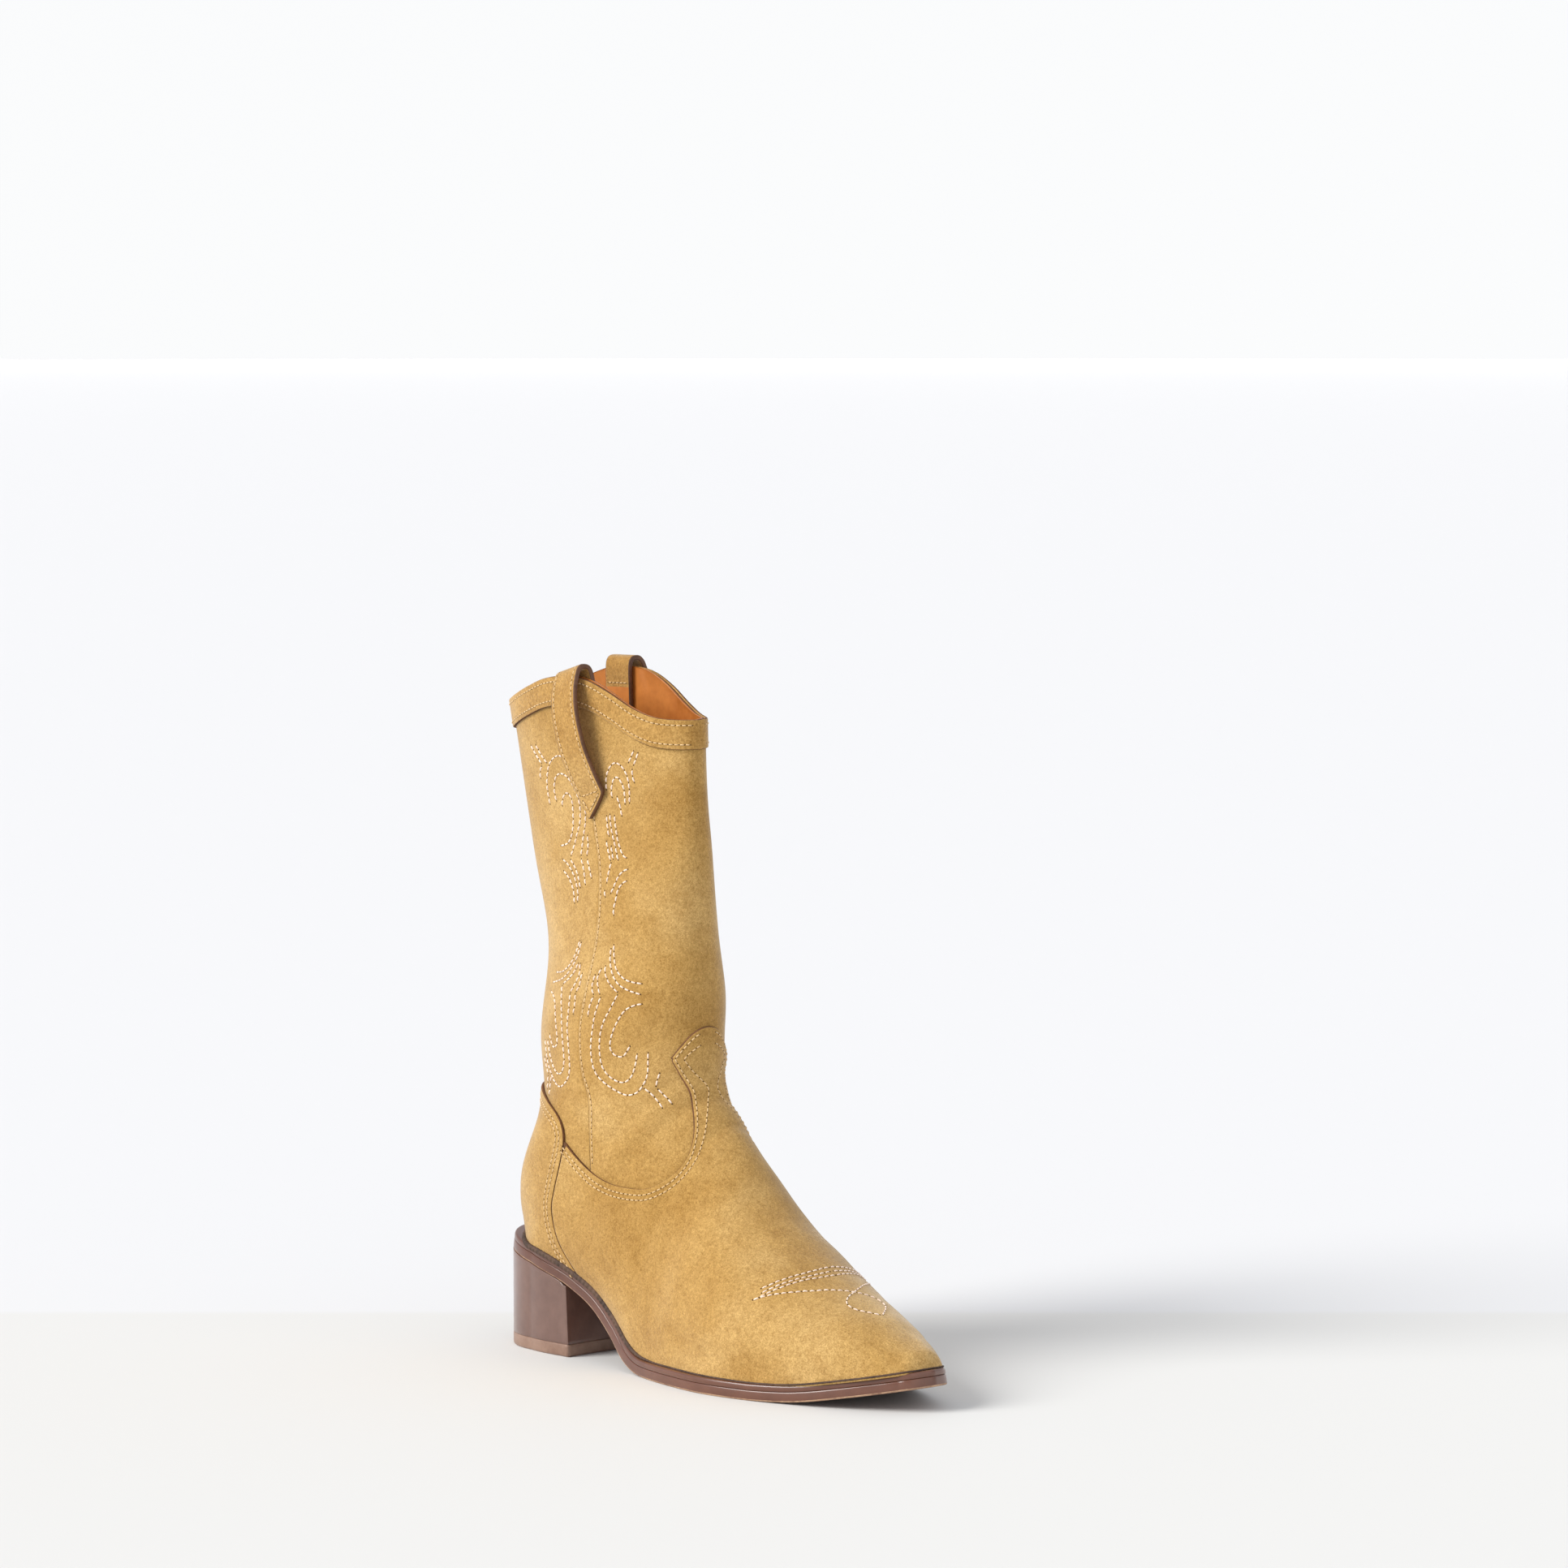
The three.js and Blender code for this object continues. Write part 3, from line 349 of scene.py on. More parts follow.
def slice_triangles(uv, tris, field):
    """Splits triangles along field = 0. Rows of `uv` are (v, p, ...), all carried along linearly.
    Returns the rows, the triangles on the positive side and those on the other side."""
    field = np.where(np.abs(field) < 1e-6, 1e-6, field)
    positive = field > 0
    count = positive[tris].sum(1)
    mixed = tris[(count == 1) | (count == 2)]
    lone_positive = positive[mixed].sum(1) == 1
    lone = np.argmax(positive[mixed] == lone_positive[:, None], axis=1)
    order = (lone[:, None] + np.arange(3)) % 3
    a, b, c = np.take_along_axis(mixed, order, 1).T
    size = len(uv)
    keys = np.concatenate([
        np.minimum(a, b) * size + np.maximum(a, b),
        np.minimum(a, c) * size + np.maximum(a, c),
    ])
    unique, inverse = np.unique(keys, return_inverse=True)
    i, j = unique // size, unique % size
    w = field[i] / (field[i] - field[j])
    over_tip = np.abs(uv[i, 1] - uv[j, 1]) > 1
    w = np.where(over_tip, np.round(w), w)
    points = np.vstack([uv, uv[i] + (uv[j] - uv[i]) * w[:, None]])
    ab, ac = size + inverse[:len(a)], size + inverse[len(a):]
    single = np.stack([a, ab, ac], 1)
    double = [np.stack([ab, b, c], 1), np.stack([ab, c, ac], 1)]
    keep = [tris[count == 3], single[lone_positive]] + [d[~lone_positive] for d in double]
    other = [tris[count == 0], single[~lone_positive]] + [d[lone_positive] for d in double]
    return points, np.vstack(keep), np.vstack(other)


def compact(uv, tris):
    used, inverse = np.unique(tris, return_inverse=True)
    return uv[used], inverse.reshape(tris.shape)


def whole_patch(rows=ROWS, columns=COLUMNS):
    """The boot's whole surface as triangles over (v, p), closed over the toe tip."""
    v = np.concatenate([[0, 0.004, 0.009, 0.014], np.linspace(0.02, 1, rows - 4)])
    p = np.linspace(0, 4, columns + 1)
    vv, pp = np.meshgrid(v, p, indexing="ij")
    n = columns + 1
    i, j = np.meshgrid(np.arange(len(v) - 1), np.arange(columns), indexing="ij")
    a = (i * n + j).ravel()
    tris = [np.stack([a, a + 1, a + n + 1], 1), np.stack([a, a + n + 1, a + n], 1)]
    k = np.arange(columns // 2)
    far = columns - k
    tris += [np.stack([k, far - 1, k + 1], 1)[:-1], np.stack([k, far, far - 1], 1)]
    return np.stack([vv.ravel(), pp.ravel()], 1), np.vstack(tris)


def side_distance(points, outline):
    """Signed side-view distance to a closed outline, positive inside it."""
    px, pz = points[:, 0:1], points[:, 1:2]
    a = np.asarray(outline, float)
    b = np.roll(a, -1, axis=0)
    ex, ez = (b - a).T
    length = ex ** 2 + ez ** 2 + 1e-12
    t = np.clip(((px - a[:, 0]) * ex + (pz - a[:, 1]) * ez) / length, 0, 1)
    away = np.hypot(px - a[:, 0] - t * ex, pz - a[:, 1] - t * ez).min(1)
    crosses = (a[:, 1] > pz) != (b[:, 1] > pz)
    ez_safe = np.where(np.abs(ez) < 1e-9, 1e-9, ez)
    hit = px < a[:, 0] + (pz - a[:, 1]) * ex / ez_safe
    inside = (crosses & hit).sum(1) % 2 == 1
    return np.where(inside, away, -away)


def two_sided(lateral, medial):
    """A field over (v, p): side-view distance inside the lateral or the medial outline."""
    def field(uv):
        points = skin(uv[:, 0], uv[:, 1], 0.0, plain=True)[:, [0, 2]]
        found = np.empty(len(uv))
        left = uv[:, 1] <= 2
        found[left] = side_distance(points[left], lateral)
        found[~left] = side_distance(points[~left], medial)
        return found
    return field


def above_sole(height):
    def field(uv):
        points = skin(uv[:, 0], uv[:, 1], 0.0, plain=True)
        slope = (tread_at(points[:, 0] + 1) - tread_at(points[:, 0] - 1)) / 2
        return (points[:, 2] - tread_at(points[:, 0])) / np.hypot(1, slope) - height
    return field


# ---------------------------------------------------------------- objects
def new_mesh(name, vertices, faces, materials, body="boot", replaces=(), indices=None):
    """Builds a piece from points in the boot's own millimetres, and rides it on its body."""
    mesh = bpy.data.meshes.new(name)
    if isinstance(faces, np.ndarray):
        points = to_row(vertices).astype(np.float32)
        mesh.vertices.add(len(points))
        mesh.vertices.foreach_set("co", points.ravel())
        mesh.loops.add(faces.size)
        mesh.loops.foreach_set("vertex_index", faces.astype(np.int32).ravel())
        mesh.polygons.add(len(faces))
        mesh.polygons.foreach_set("loop_start", np.arange(0, faces.size, 3, dtype=np.int32))
        mesh.update(calc_edges=True)
    else:
        mesh.from_pydata(to_row(vertices).tolist(), [], [list(map(int, f)) for f in faces])
    for m in materials:
        mesh.materials.append(m)
    if indices is not None:
        mesh.polygons.foreach_set("material_index", np.asarray(indices, np.int32))
    mesh.polygons.foreach_set("use_smooth", np.ones(len(mesh.polygons), bool))
    work = bmesh.new()
    work.from_mesh(mesh)
    bmesh.ops.recalc_face_normals(work, faces=work.faces)
    work.to_mesh(mesh)
    work.free()
    o = bpy.data.objects.new(name, mesh)
    bpy.context.scene.collection.objects.link(o)
    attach(o, body)
    if replaces:
        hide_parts(*replaces)
    return o


FULL_PATCH = whole_patch()
COARSE_PATCH = whole_patch(150, 84)
known_values = {}


def field_values(field, patch):
    """Values of a field over a whole patch, worked out once."""
    key = (field, id(patch))
    if key not in known_values:
        known_values[key] = field(patch[0])
    return known_values[key]


def weld(rows, tris):
    """Joins rows that lie at the same place, such as the two ends round the heel back."""
    place = np.round(skin(rows[:, 0], rows[:, 1], 0.0, plain=True) * 200).astype(np.int64)
    _, first, inverse = np.unique(place, axis=0, return_index=True, return_inverse=True)
    tris = inverse.reshape(-1)[tris]
    whole = (tris[:, 0] != tris[:, 1]) & (tris[:, 1] != tris[:, 2]) & (tris[:, 2] != tris[:, 0])
    return rows[first], tris[whole]


def panel(name, fields, outer, inner, materials, replaces, edge_round=EDGE_ROUND, patch=None):
    """A leather panel: the part of the surface where every field is positive, with rounded cut
    edges, from depth `outer` to depth `inner`."""
    patch = FULL_PATCH if patch is None else patch
    values = [field_values(field, patch) for field in fields]
    rows, tris = np.column_stack([patch[0], *values]), patch[1]
    for k in range(len(fields)):
        rows, tris, _ = slice_triangles(rows, tris, rows[:, 2 + k])
        rows, tris = compact(rows, tris)
    for level in (edge_round, edge_round * 0.3):
        rows, near, far = slice_triangles(rows, tris, rows[:, 2:].min(1) - level)
        tris = np.vstack([near, far])
    rows, tris = weld(*compact(rows, tris))
    edge = np.clip(rows[:, 2:].min(1), 0, edge_round)
    drop = edge_round - np.sqrt(edge_round ** 2 - (edge_round - edge) ** 2)
    face = skin(rows[:, 0], rows[:, 1], outer + drop)
    back = skin(rows[:, 0], rows[:, 1], inner)
    count = len(rows)
    rim = boundary_of(tris)
    a, b = rim[:, 0], rim[:, 1]
    walls = np.vstack([np.stack([b, a, a + count], 1), np.stack([b, a + count, b + count], 1)])
    faces = np.vstack([tris, tris[:, ::-1] + count, walls])
    indices = np.zeros(len(faces), np.int32)
    if len(materials) > 1:
        indices[2 * len(tris):] = 1
        indices[:len(tris)][(edge[tris] < edge_round * 0.4).all(1)] = 1
    points = np.vstack([face, back])
    return new_mesh(name, points, faces, materials, replaces=replaces, indices=indices)


# ---------------------------------------------------------------- materials
def principled(name, base, roughness, metallic=0.0, **inputs):
    material = bpy.data.materials.new(name)
    material.use_nodes = True
    nodes, links = material.node_tree.nodes, material.node_tree.links
    shader = nodes["Principled BSDF"]
    shader.inputs["Base Color"].default_value = (*base, 1)
    shader.inputs["Roughness"].default_value = roughness
    shader.inputs["Metallic"].default_value = metallic
    for key, value in inputs.items():
        shader.inputs[key.replace("_", " ")].default_value = value
    return material, nodes, links, shader


def noise(nodes, links, scale, detail=3.0, rough=0.55, stretch=(1, 1, 1), distortion=0.0):
    """A noise over the object's own coordinates in metres; scale is cells per metre."""
    place = nodes.new("ShaderNodeTexCoord")
    mapping = nodes.new("ShaderNodeMapping")
    mapping.inputs["Scale"].default_value = stretch
    links.new(place.outputs["Object"], mapping.inputs["Vector"])
    texture = nodes.new("ShaderNodeTexNoise")
    texture.inputs["Scale"].default_value = scale
    texture.inputs["Detail"].default_value = detail
    texture.inputs["Roughness"].default_value = rough
    texture.inputs["Distortion"].default_value = distortion
    links.new(mapping.outputs["Vector"], texture.inputs["Vector"])
    return texture.outputs["Fac"]


def ramp(nodes, links, factor, stops):
    node = nodes.new("ShaderNodeValToRGB")
    elements = node.color_ramp.elements
    elements[0].position, elements[0].color = stops[0][0], (*stops[0][1], 1)
    elements[1].position, elements[1].color = stops[-1][0], (*stops[-1][1], 1)
    for place, colour in stops[1:-1]:
        elements.new(place).color = (*colour, 1)
    links.new(factor, node.inputs["Fac"])
    return node.outputs["Color"]


def mix(nodes, links, kind, factor, a, b):
    node = nodes.new("ShaderNodeMix")
    node.data_type = "RGBA"
    node.blend_type = kind
    if isinstance(factor, float):
        node.inputs["Factor"].default_value = factor
    else:
        links.new(factor, node.inputs["Factor"])
    for socket, value in (("A", a), ("B", b)):
        target = [s for s in node.inputs if s.name == socket and s.type == "RGBA"][0]
        if isinstance(value, tuple):
            target.default_value = (*value, 1)
        else:
            links.new(value, target)
    return [s for s in node.outputs if s.type == "RGBA"][0]


def bump(nodes, links, shader, heights):
    """Chains bumps; each height is (output, strength, distance in metres)."""
    normal = None
    for height, strength, distance in heights:
        node = nodes.new("ShaderNodeBump")
        node.inputs["Strength"].default_value = strength
        node.inputs["Distance"].default_value = distance
        links.new(height, node.inputs["Height"])
        if normal is not None:
            links.new(normal, node.inputs["Normal"])
        normal = node.outputs["Normal"]
    links.new(normal, shader.inputs["Normal"])


def suede_material(name, dark, middle, light, nap_scale=1500, nap_height=0.00022):
    """Napped leather: soft broad patches, small mottling and a fine fibre grain."""
    material, nodes, links, shader = principled(
        name, middle, 0.95, Sheen_Weight=0.6, Sheen_Roughness=0.4,
        Sheen_Tint=(1.0, 0.92, 0.80, 1), Specular_IOR_Level=0.12)
    patches = noise(nodes, links, 17, 3, 0.5, distortion=0.6)
    mottle = noise(nodes, links, 110, 3, 0.6, distortion=0.8)
    pores = noise(nodes, links, 620, 2, 0.6)
    nap = noise(nodes, links, nap_scale, 2, 0.75, distortion=0.5)
    base = ramp(nodes, links, patches, [(0.32, dark), (0.50, middle), (0.68, light)])
    colour = base
    for pattern, shaded, lit in (
        (mottle, (0.90, 0.87, 0.82), (1.06, 1.07, 1.09)),
        (pores, (0.86, 0.83, 0.78), (1.10, 1.11, 1.14)),
        (nap, (0.72, 0.67, 0.60), (1.26, 1.28, 1.34)),
    ):
        tone = ramp(nodes, links, pattern, [(0.30, shaded), (0.50, (1, 1, 1)), (0.70, lit)])
        colour = mix(nodes, links, "MULTIPLY", 1.0, colour, tone)
    links.new(colour, shader.inputs["Base Color"])
    bump(nodes, links, shader, [(mottle, 0.15, 0.0008), (pores, 0.35, 0.0004), (nap, 0.6, nap_height)])
    return material


def plain_material(name, dark, light, scale, roughness, metallic=0.0, bump_by=(0.2, 0.0002), **inputs):
    """A material whose colour runs between two shades, with fine relief."""
    material, nodes, links, shader = principled(name, light, roughness, metallic, **inputs)
    broad = noise(nodes, links, scale * 0.12, 3, 0.55, distortion=0.5)
    fine = noise(nodes, links, scale, 4, 0.6)
    both = mix(nodes, links, "MIX", 0.45, broad, fine)
    links.new(ramp(nodes, links, both, [(0.36, dark), (0.64, light)]), shader.inputs["Base Color"])
    bump(nodes, links, shader, [(fine, *bump_by)])
    return material


suede = suede_material("suede", (0.375, 0.208, 0.054), (0.445, 0.263, 0.080), (0.515, 0.325, 0.118))
suede_collar = suede_material(
    "suede_collar", (0.375, 0.200, 0.050), (0.440, 0.250, 0.072), (0.505, 0.305, 0.102), 1050, 0.00045)
raw_edge = plain_material("raw_edge", (0.085, 0.032, 0.010), (0.20, 0.085, 0.030), 900, 0.9)
painted_edge = plain_material("painted_edge", (0.07, 0.028, 0.012), (0.17, 0.075, 0.035), 700, 0.6)
lining_leather = plain_material(
    "lining_leather", (0.42, 0.128, 0.020), (0.57, 0.200, 0.038), 260, 0.42, bump_by=(0.12, 0.0002),
    Coat_Weight=0.08)
sole_leather = plain_material(
    "sole_leather", (0.120, 0.056, 0.040), (0.180, 0.092, 0.066), 130, 0.28, bump_by=(0.05, 0.0002),
    Coat_Weight=0.6, Coat_Roughness=0.2, Coat_IOR=1.6)
outsole_leather = plain_material(
    "outsole_leather", (0.095, 0.030, 0.015), (0.148, 0.054, 0.029), 90, 0.30, bump_by=(0.05, 0.0002),
    Coat_Weight=0.35, Coat_Roughness=0.22, Coat_IOR=1.6)
raw_sole = plain_material("raw_sole", (0.20, 0.095, 0.060), (0.56, 0.36, 0.22), 700, 0.7)
lift_rubber = plain_material("lift_rubber", (0.21, 0.118, 0.080), (0.32, 0.200, 0.146), 300, 0.40)
rand_thread = plain_material("rand_thread", (0.030, 0.014, 0.008), (0.115, 0.062, 0.036), 1100, 0.7)
deco_thread = plain_material("deco_thread", (0.78, 0.58, 0.45), (0.95, 0.80, 0.69), 1600, 0.5)
seam_thread = plain_material("seam_thread", (0.58, 0.38, 0.17), (0.80, 0.58, 0.32), 1600, 0.55)
# The needle-hole material is painted shade: a near-black colour for the shade inside each needle hole.
needle_hole_shade = plain_material("needle_hole_shade", (0.05, 0.024, 0.008), (0.11, 0.055, 0.018), 900, 1.0)
tape_cloth = plain_material("tape_cloth", (0.010, 0.008, 0.007), (0.035, 0.028, 0.022), 1900, 0.85)
zip_coil = plain_material("zip_coil", (0.13, 0.105, 0.055), (0.36, 0.30, 0.17), 700, 0.38, 0.35)
antique_brass = plain_material("antique_brass", (0.20, 0.135, 0.045), (0.42, 0.31, 0.13), 420, 0.34, 0.9)
puller_metal = plain_material("puller_metal", (0.30, 0.27, 0.235), (0.48, 0.445, 0.40), 420, 0.36, 0.85)
steel = plain_material("steel", (0.32, 0.32, 0.31), (0.55, 0.55, 0.54), 400, 0.35, 0.9)
cork = plain_material("cork", (0.22, 0.12, 0.05), (0.46, 0.29, 0.14), 380, 0.9)
board = plain_material("board", (0.38, 0.26, 0.14), (0.52, 0.38, 0.23), 500, 0.85)
stiffener = plain_material("stiffener", (0.56, 0.49, 0.38), (0.70, 0.62, 0.50), 500, 0.75)

CAD_LOOKS = {
    "shank": steel, "cork_filler": cork, "insole_board": board, "sock_lining": lining_leather,
    "counter_stiffener": stiffener, "toe_puff": stiffener, "vamp_lining": lining_leather,
    "heel_nail_1": steel, "heel_nail_2": steel, "heel_nail_3": steel, "heel_nail_4": steel,
}
for node_name, look in CAD_LOOKS.items():
    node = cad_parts[node_name]
    node.data.materials.clear()
    node.data.materials.append(look)
for node_name in ("counter_stiffener", "toe_puff"):
    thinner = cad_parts[node_name].modifiers.new("thinner", "DISPLACE")
    thinner.mid_level = 0
    thinner.strength = -0.0005

# ---------------------------------------------------------------- the zip's line
zip_chord = ZIP_BOTTOM - ZIP_TOP
zip_bow = unit(ZIP_BOW - zip_chord * (ZIP_BOW @ zip_chord) / (zip_chord @ zip_chord))
zip_radius = (zip_chord @ zip_chord) / (8 * ZIP_SAG) + ZIP_SAG / 2
zip_centre = (ZIP_TOP + ZIP_BOTTOM) / 2 + zip_bow * (ZIP_SAG - zip_radius)
zip_axis = unit(np.cross(zip_bow, zip_chord))
zip_sweep = 2 * math.asin(np.linalg.norm(zip_chord) / (2 * zip_radius))


def zip_point(share):
    angle = np.atleast_1d(share)[:, None] * zip_sweep
    arm = ZIP_TOP - zip_centre
    turned = arm * np.cos(angle) + np.cross(zip_axis, arm) * np.sin(angle)
    return turned + zip_axis * (zip_axis @ arm) * (1 - np.cos(angle)) + zip_centre


def tooth_line(share):
    """Side-view points of the tooth line and the way across it."""
    here, ahead = zip_point(share)[:, [0, 2]], zip_point(share + 0.01)[:, [0, 2]]
    way = unit(ahead - here)
    return here, np.stack([-way[:, 1], way[:, 0]], 1)


def zip_strip(low, high, start=0.0, end=1.0, steps=30):
    """Side-view outline along the tooth line, from `low` to `high` millimetres in front of it."""
    here, across = tooth_line(np.linspace(start, end, steps + 1))
    return np.vstack([here + across * low, (here + across * high)[::-1]])


# ---------------------------------------------------------------- outlines of the panels
NOWHERE = [[400, 400], [401, 400], [401, 401]]


def inner_side(outline):
    """A field over the inner side alone."""
    return two_sided(NOWHERE, outline)


def region(*parts):
    return np.vstack([np.asarray(part, float).reshape(-1, 2) for part in parts])


def below_rim(drop):
    def outline(rim):
        lowered = smooth_line(rim) - [0, drop]
        return region([[-60, -10], [330, -10], [330, 250]], lowered[::-1], [[-60, 250]])
    return two_sided(outline(RIM_LATERAL), outline(RIM_MEDIAL))


def flipped(field):
    return lambda uv: -field(uv)


zip_run = zip_point(np.linspace(0, 1, 7))[:, [0, 2]]
MEDIAL_SEAM = region([[44, 320], [43, 300], [ZIP_TOP[0], ZIP_TOP[2] + 2]], zip_run, [[38, 80], [38, -20]])
front_region = two_sided(
    region(smooth_line(SEAM_LATERAL), [[77, -20], [330, -20], [330, 320]]),
    region(MEDIAL_SEAM, [[330, -20], [330, 320]]))
ZIP_SLOT = zip_strip(-SLOT_HALF, SLOT_HALF, -0.05, 1.01)
zip_slot = inner_side(ZIP_SLOT)
VAMP_FRONT = [[330, 160], [330, -20], [30, -20]]
vamp_region = two_sided(
    region(smooth_line(VAMP_EDGE_LATERAL), smooth_line(TONGUE_EDGE), VAMP_FRONT, [[30, 97.5]]),
    region(smooth_line(VAMP_EDGE_MEDIAL), smooth_line(TONGUE_EDGE), VAMP_FRONT, [[30, 84], [40.5, 84]]))


def counter_outline(line, shift):
    return region(smooth_line(line) - [shift, 0], [[62 - shift, -20], [-60, -20], [-60, 122]])


def behind_counter_edge(shift):
    return two_sided(
        counter_outline(COUNTER_EDGE_LATERAL, shift), counter_outline(COUNTER_EDGE_MEDIAL, shift))


counter_region = behind_counter_edge(0)
beyond_counter = flipped(behind_counter_edge(-0.3))
under_counter = flipped(behind_counter_edge(9))
SHAFT_TOP = [[330, 420], [-60, 420]]
shaft_region = two_sided(region(SHAFT_FOOT, SHAFT_TOP), region(SHAFT_FOOT_MEDIAL, SHAFT_TOP))
VAMP_LINING = [[72, -20], [72, 60], [84, 88], [104, 106], [118, 118], [150, 140], [330, 140], [330, -20]]
behind_vamp_lining = flipped(two_sided(VAMP_LINING, VAMP_LINING))
tape_slot = inner_side(zip_strip(-TAPE_HALF - 0.3, TAPE_HALF + 0.3, -0.07, 1.05))


# ---------------------------------------------------------------- the upper
def build_upper():
    looks = [suede, raw_edge]
    panel("vamp", [vamp_region, beyond_counter, above_sole(SOLE - 1)], COVER, COVER_BACK,
          looks, ["vamp"])
    panel("heel_counter_cover", [counter_region, above_sole(SOLE - 1)], COVER, COVER_BACK,
          looks, ["heel_counter_cover"])
    panel("shaft_front", [front_region, shaft_region, below_rim(0.5), flipped(zip_slot)],
          SHAFT_FRONT_FACE, SHAFT_INNER, looks, ["shaft_front"])
    panel("shaft_back",
          [flipped(front_region), shaft_region, below_rim(0.5), flipped(zip_slot), under_counter],
          SHAFT_BACK_FACE, SHAFT_INNER, looks, ["shaft_back"])
    band = flipped(below_rim(COLLAR))
    collar_looks = [suede_collar, raw_edge]
    panel("collar_front", [front_region, below_rim(0), band], COVER, SHAFT_FRONT_FACE - 0.05,
          collar_looks, ["collar_front"])
    panel("collar_back", [flipped(front_region), below_rim(0), band], COVER, SHAFT_BACK_FACE - 0.1,
          collar_looks, ["collar_back"])
    inside = [below_rim(0.1), behind_vamp_lining, flipped(tape_slot), above_sole(SOLE + 1)]
    panel("lining_front", [front_region, *inside], LINING_INNER, LINING_OUTER, [lining_leather],
          ["lining_front"], edge_round=0.3, patch=COARSE_PATCH)
    panel("lining_back", [flipped(front_region), *inside], LINING_INNER, LINING_OUTER, [lining_leather],
          ["lining_back"], edge_round=0.3, patch=COARSE_PATCH)


# ---------------------------------------------------------------- sole and heel
def half_plan(curve, x):
    """Half width of the base line, with the heel's back drawn as a round end."""
    away = np.clip((HEEL_ROUND_X - x) / (HEEL_ROUND_X - PLAN_FROM), 0, 1)
    round_end = curve(HEEL_ROUND_X) * (1 - away ** 2.2) ** (1 / 2.2)
    return np.where(x < HEEL_ROUND_X, round_end, np.maximum(0, curve(x)))


def plan_loop(edge, steps=150):
    """Plan outline `edge` outside the upper's base line, from the heel along the lateral side to
    the toe and back along the medial side."""
    x = PLAN_FROM + (PLAN_TO - PLAN_FROM) * (1 - np.cos(np.pi * np.linspace(0, 1, steps + 1))) / 2
    lateral = np.stack([x, foot_centre(x) - half_plan(plan_lateral, x)], 1)
    medial = np.stack([x, foot_centre(x) + half_plan(plan_medial, x)], 1)
    loop = np.vstack([lateral, medial[::-1][1:-1]])
    along = unit(np.roll(loop, -1, axis=0) - np.roll(loop, 1, axis=0))
    return loop + edge * np.stack([along[:, 1], -along[:, 0]], 1)


def at_height(loop, height):
    """Lifts a plan loop to `height` above the outsole's underside, square to it."""
    slope = (tread_at(loop[:, 0] + 1) - tread_at(loop[:, 0] - 1)) / 2
    length = np.hypot(1, slope)
    x = loop[:, 0] - height * slope / length
    return np.stack([x, loop[:, 1], tread_at(loop[:, 0]) + height / length], 1)


def strip_faces(count, rings, closed_rings=False):
    """Quads between successive closed rings of `count` points."""
    faces = []
    last = rings if closed_rings else rings - 1
    for r in range(last):
        a, b = r * count, ((r + 1) % rings) * count
        for k in range(count):
            n = (k + 1) % count
            faces.append([a + k, a + n, b + n, b + k])
    return faces


def tube_faces(sides, rings, base=0):
    """Faces of a tube of rings, closed at both ends, whose first vertex is `base`."""
    faces = strip_faces(sides, rings)
    faces += [list(range(sides)), [(rings - 1) * sides + k for k in range(sides)]]
    return [[base + k for k in face] for face in faces]


def sole_layer(name, profile, cap_low, materials, replaces, raw=()):
    """One sole layer: rings along the plan by (inset, height), with its middle closed or open;
    the bands numbered in `raw` take the second material."""
    rings = [at_height(plan_loop(SOLE_EDGE - inset), height) for inset, height in profile]
    count = len(rings[0])
    vertices = np.vstack(rings)
    faces = strip_faces(count, len(rings), closed_rings=not cap_low)
    if cap_low:
        half = count // 2
        for ring in (0, len(rings) - 1):
            base = ring * count
            for k in range(half):
                other, after = (count - k) % count, (count - k - 1) % count
                quad = [base + k, base + k + 1, base + after, base + other]
                faces.append(list(dict.fromkeys(quad)))
    indices = [1 if k // count in raw else 0 for k in range(len(faces))]
    return new_mesh(name, vertices, faces, materials, replaces=replaces, indices=indices)


def build_sole():
    sole_layer("outsole", [
        (6, OUTSOLE), (0.5, OUTSOLE), (0.22, OUTSOLE - 0.08), (0.08, OUTSOLE - 0.3), (0, OUTSOLE - 0.7),
        (-0.05, 2.4), (0, 0.8), (0.12, 0.4), (0.45, 0.1), (1.1, 0), (6, 0),
    ], True, [outsole_leather, raw_sole], ["outsole"], raw=(6, 7))
    sole_layer("welt", [
        (WELT_RING, OUTSOLE + 0.05), (0.6, OUTSOLE + 0.05), (0.2, OUTSOLE + 0.12), (0.05, OUTSOLE + 0.35),
        (-0.02, OUTSOLE + 1.4), (0.05, SOLE - 0.7), (0.25, SOLE - 0.3), (0.6, SOLE - 0.06), (1.2, SOLE),
        (3, SOLE), (WELT_RING, SOLE),
    ], False, [outsole_leather], ["welt"])


def heel_outline(inset):
    """Plan of the heel: round the back from the lateral to the medial breast corner, then along
    the slightly hollow breast."""
    loop = plan_loop(SOLE_EDGE - inset)
    half = len(loop) // 2
    lateral, medial = loop[:half], loop[:half:-1]
    breast_x = BREAST_X - inset
    back = np.vstack([lateral[lateral[:, 0] < breast_x][::-1], medial[medial[:, 0] < breast_x]])
    y0, y1 = back[-1, 1], back[0, 1]
    across = np.linspace(0, 1, 25)
    hollow = 1.3 * np.sin(np.pi * across)
    breast = np.stack([breast_x - hollow, y0 + (y1 - y0) * across], 1)
    return np.vstack([back, breast])


def loft(name, rings, material, replaces, bevel=0.0):
    faces = tube_faces(len(rings[0]), len(rings))
    o = new_mesh(name, np.vstack(rings), faces, [material], replaces=replaces)
    if bevel:
        modifier = o.modifiers.new("soft_edges", "BEVEL")
        modifier.width = bevel * 0.001
        modifier.segments = 2
        modifier.limit_method = "ANGLE"
        modifier.angle_limit = math.radians(38)
    return o


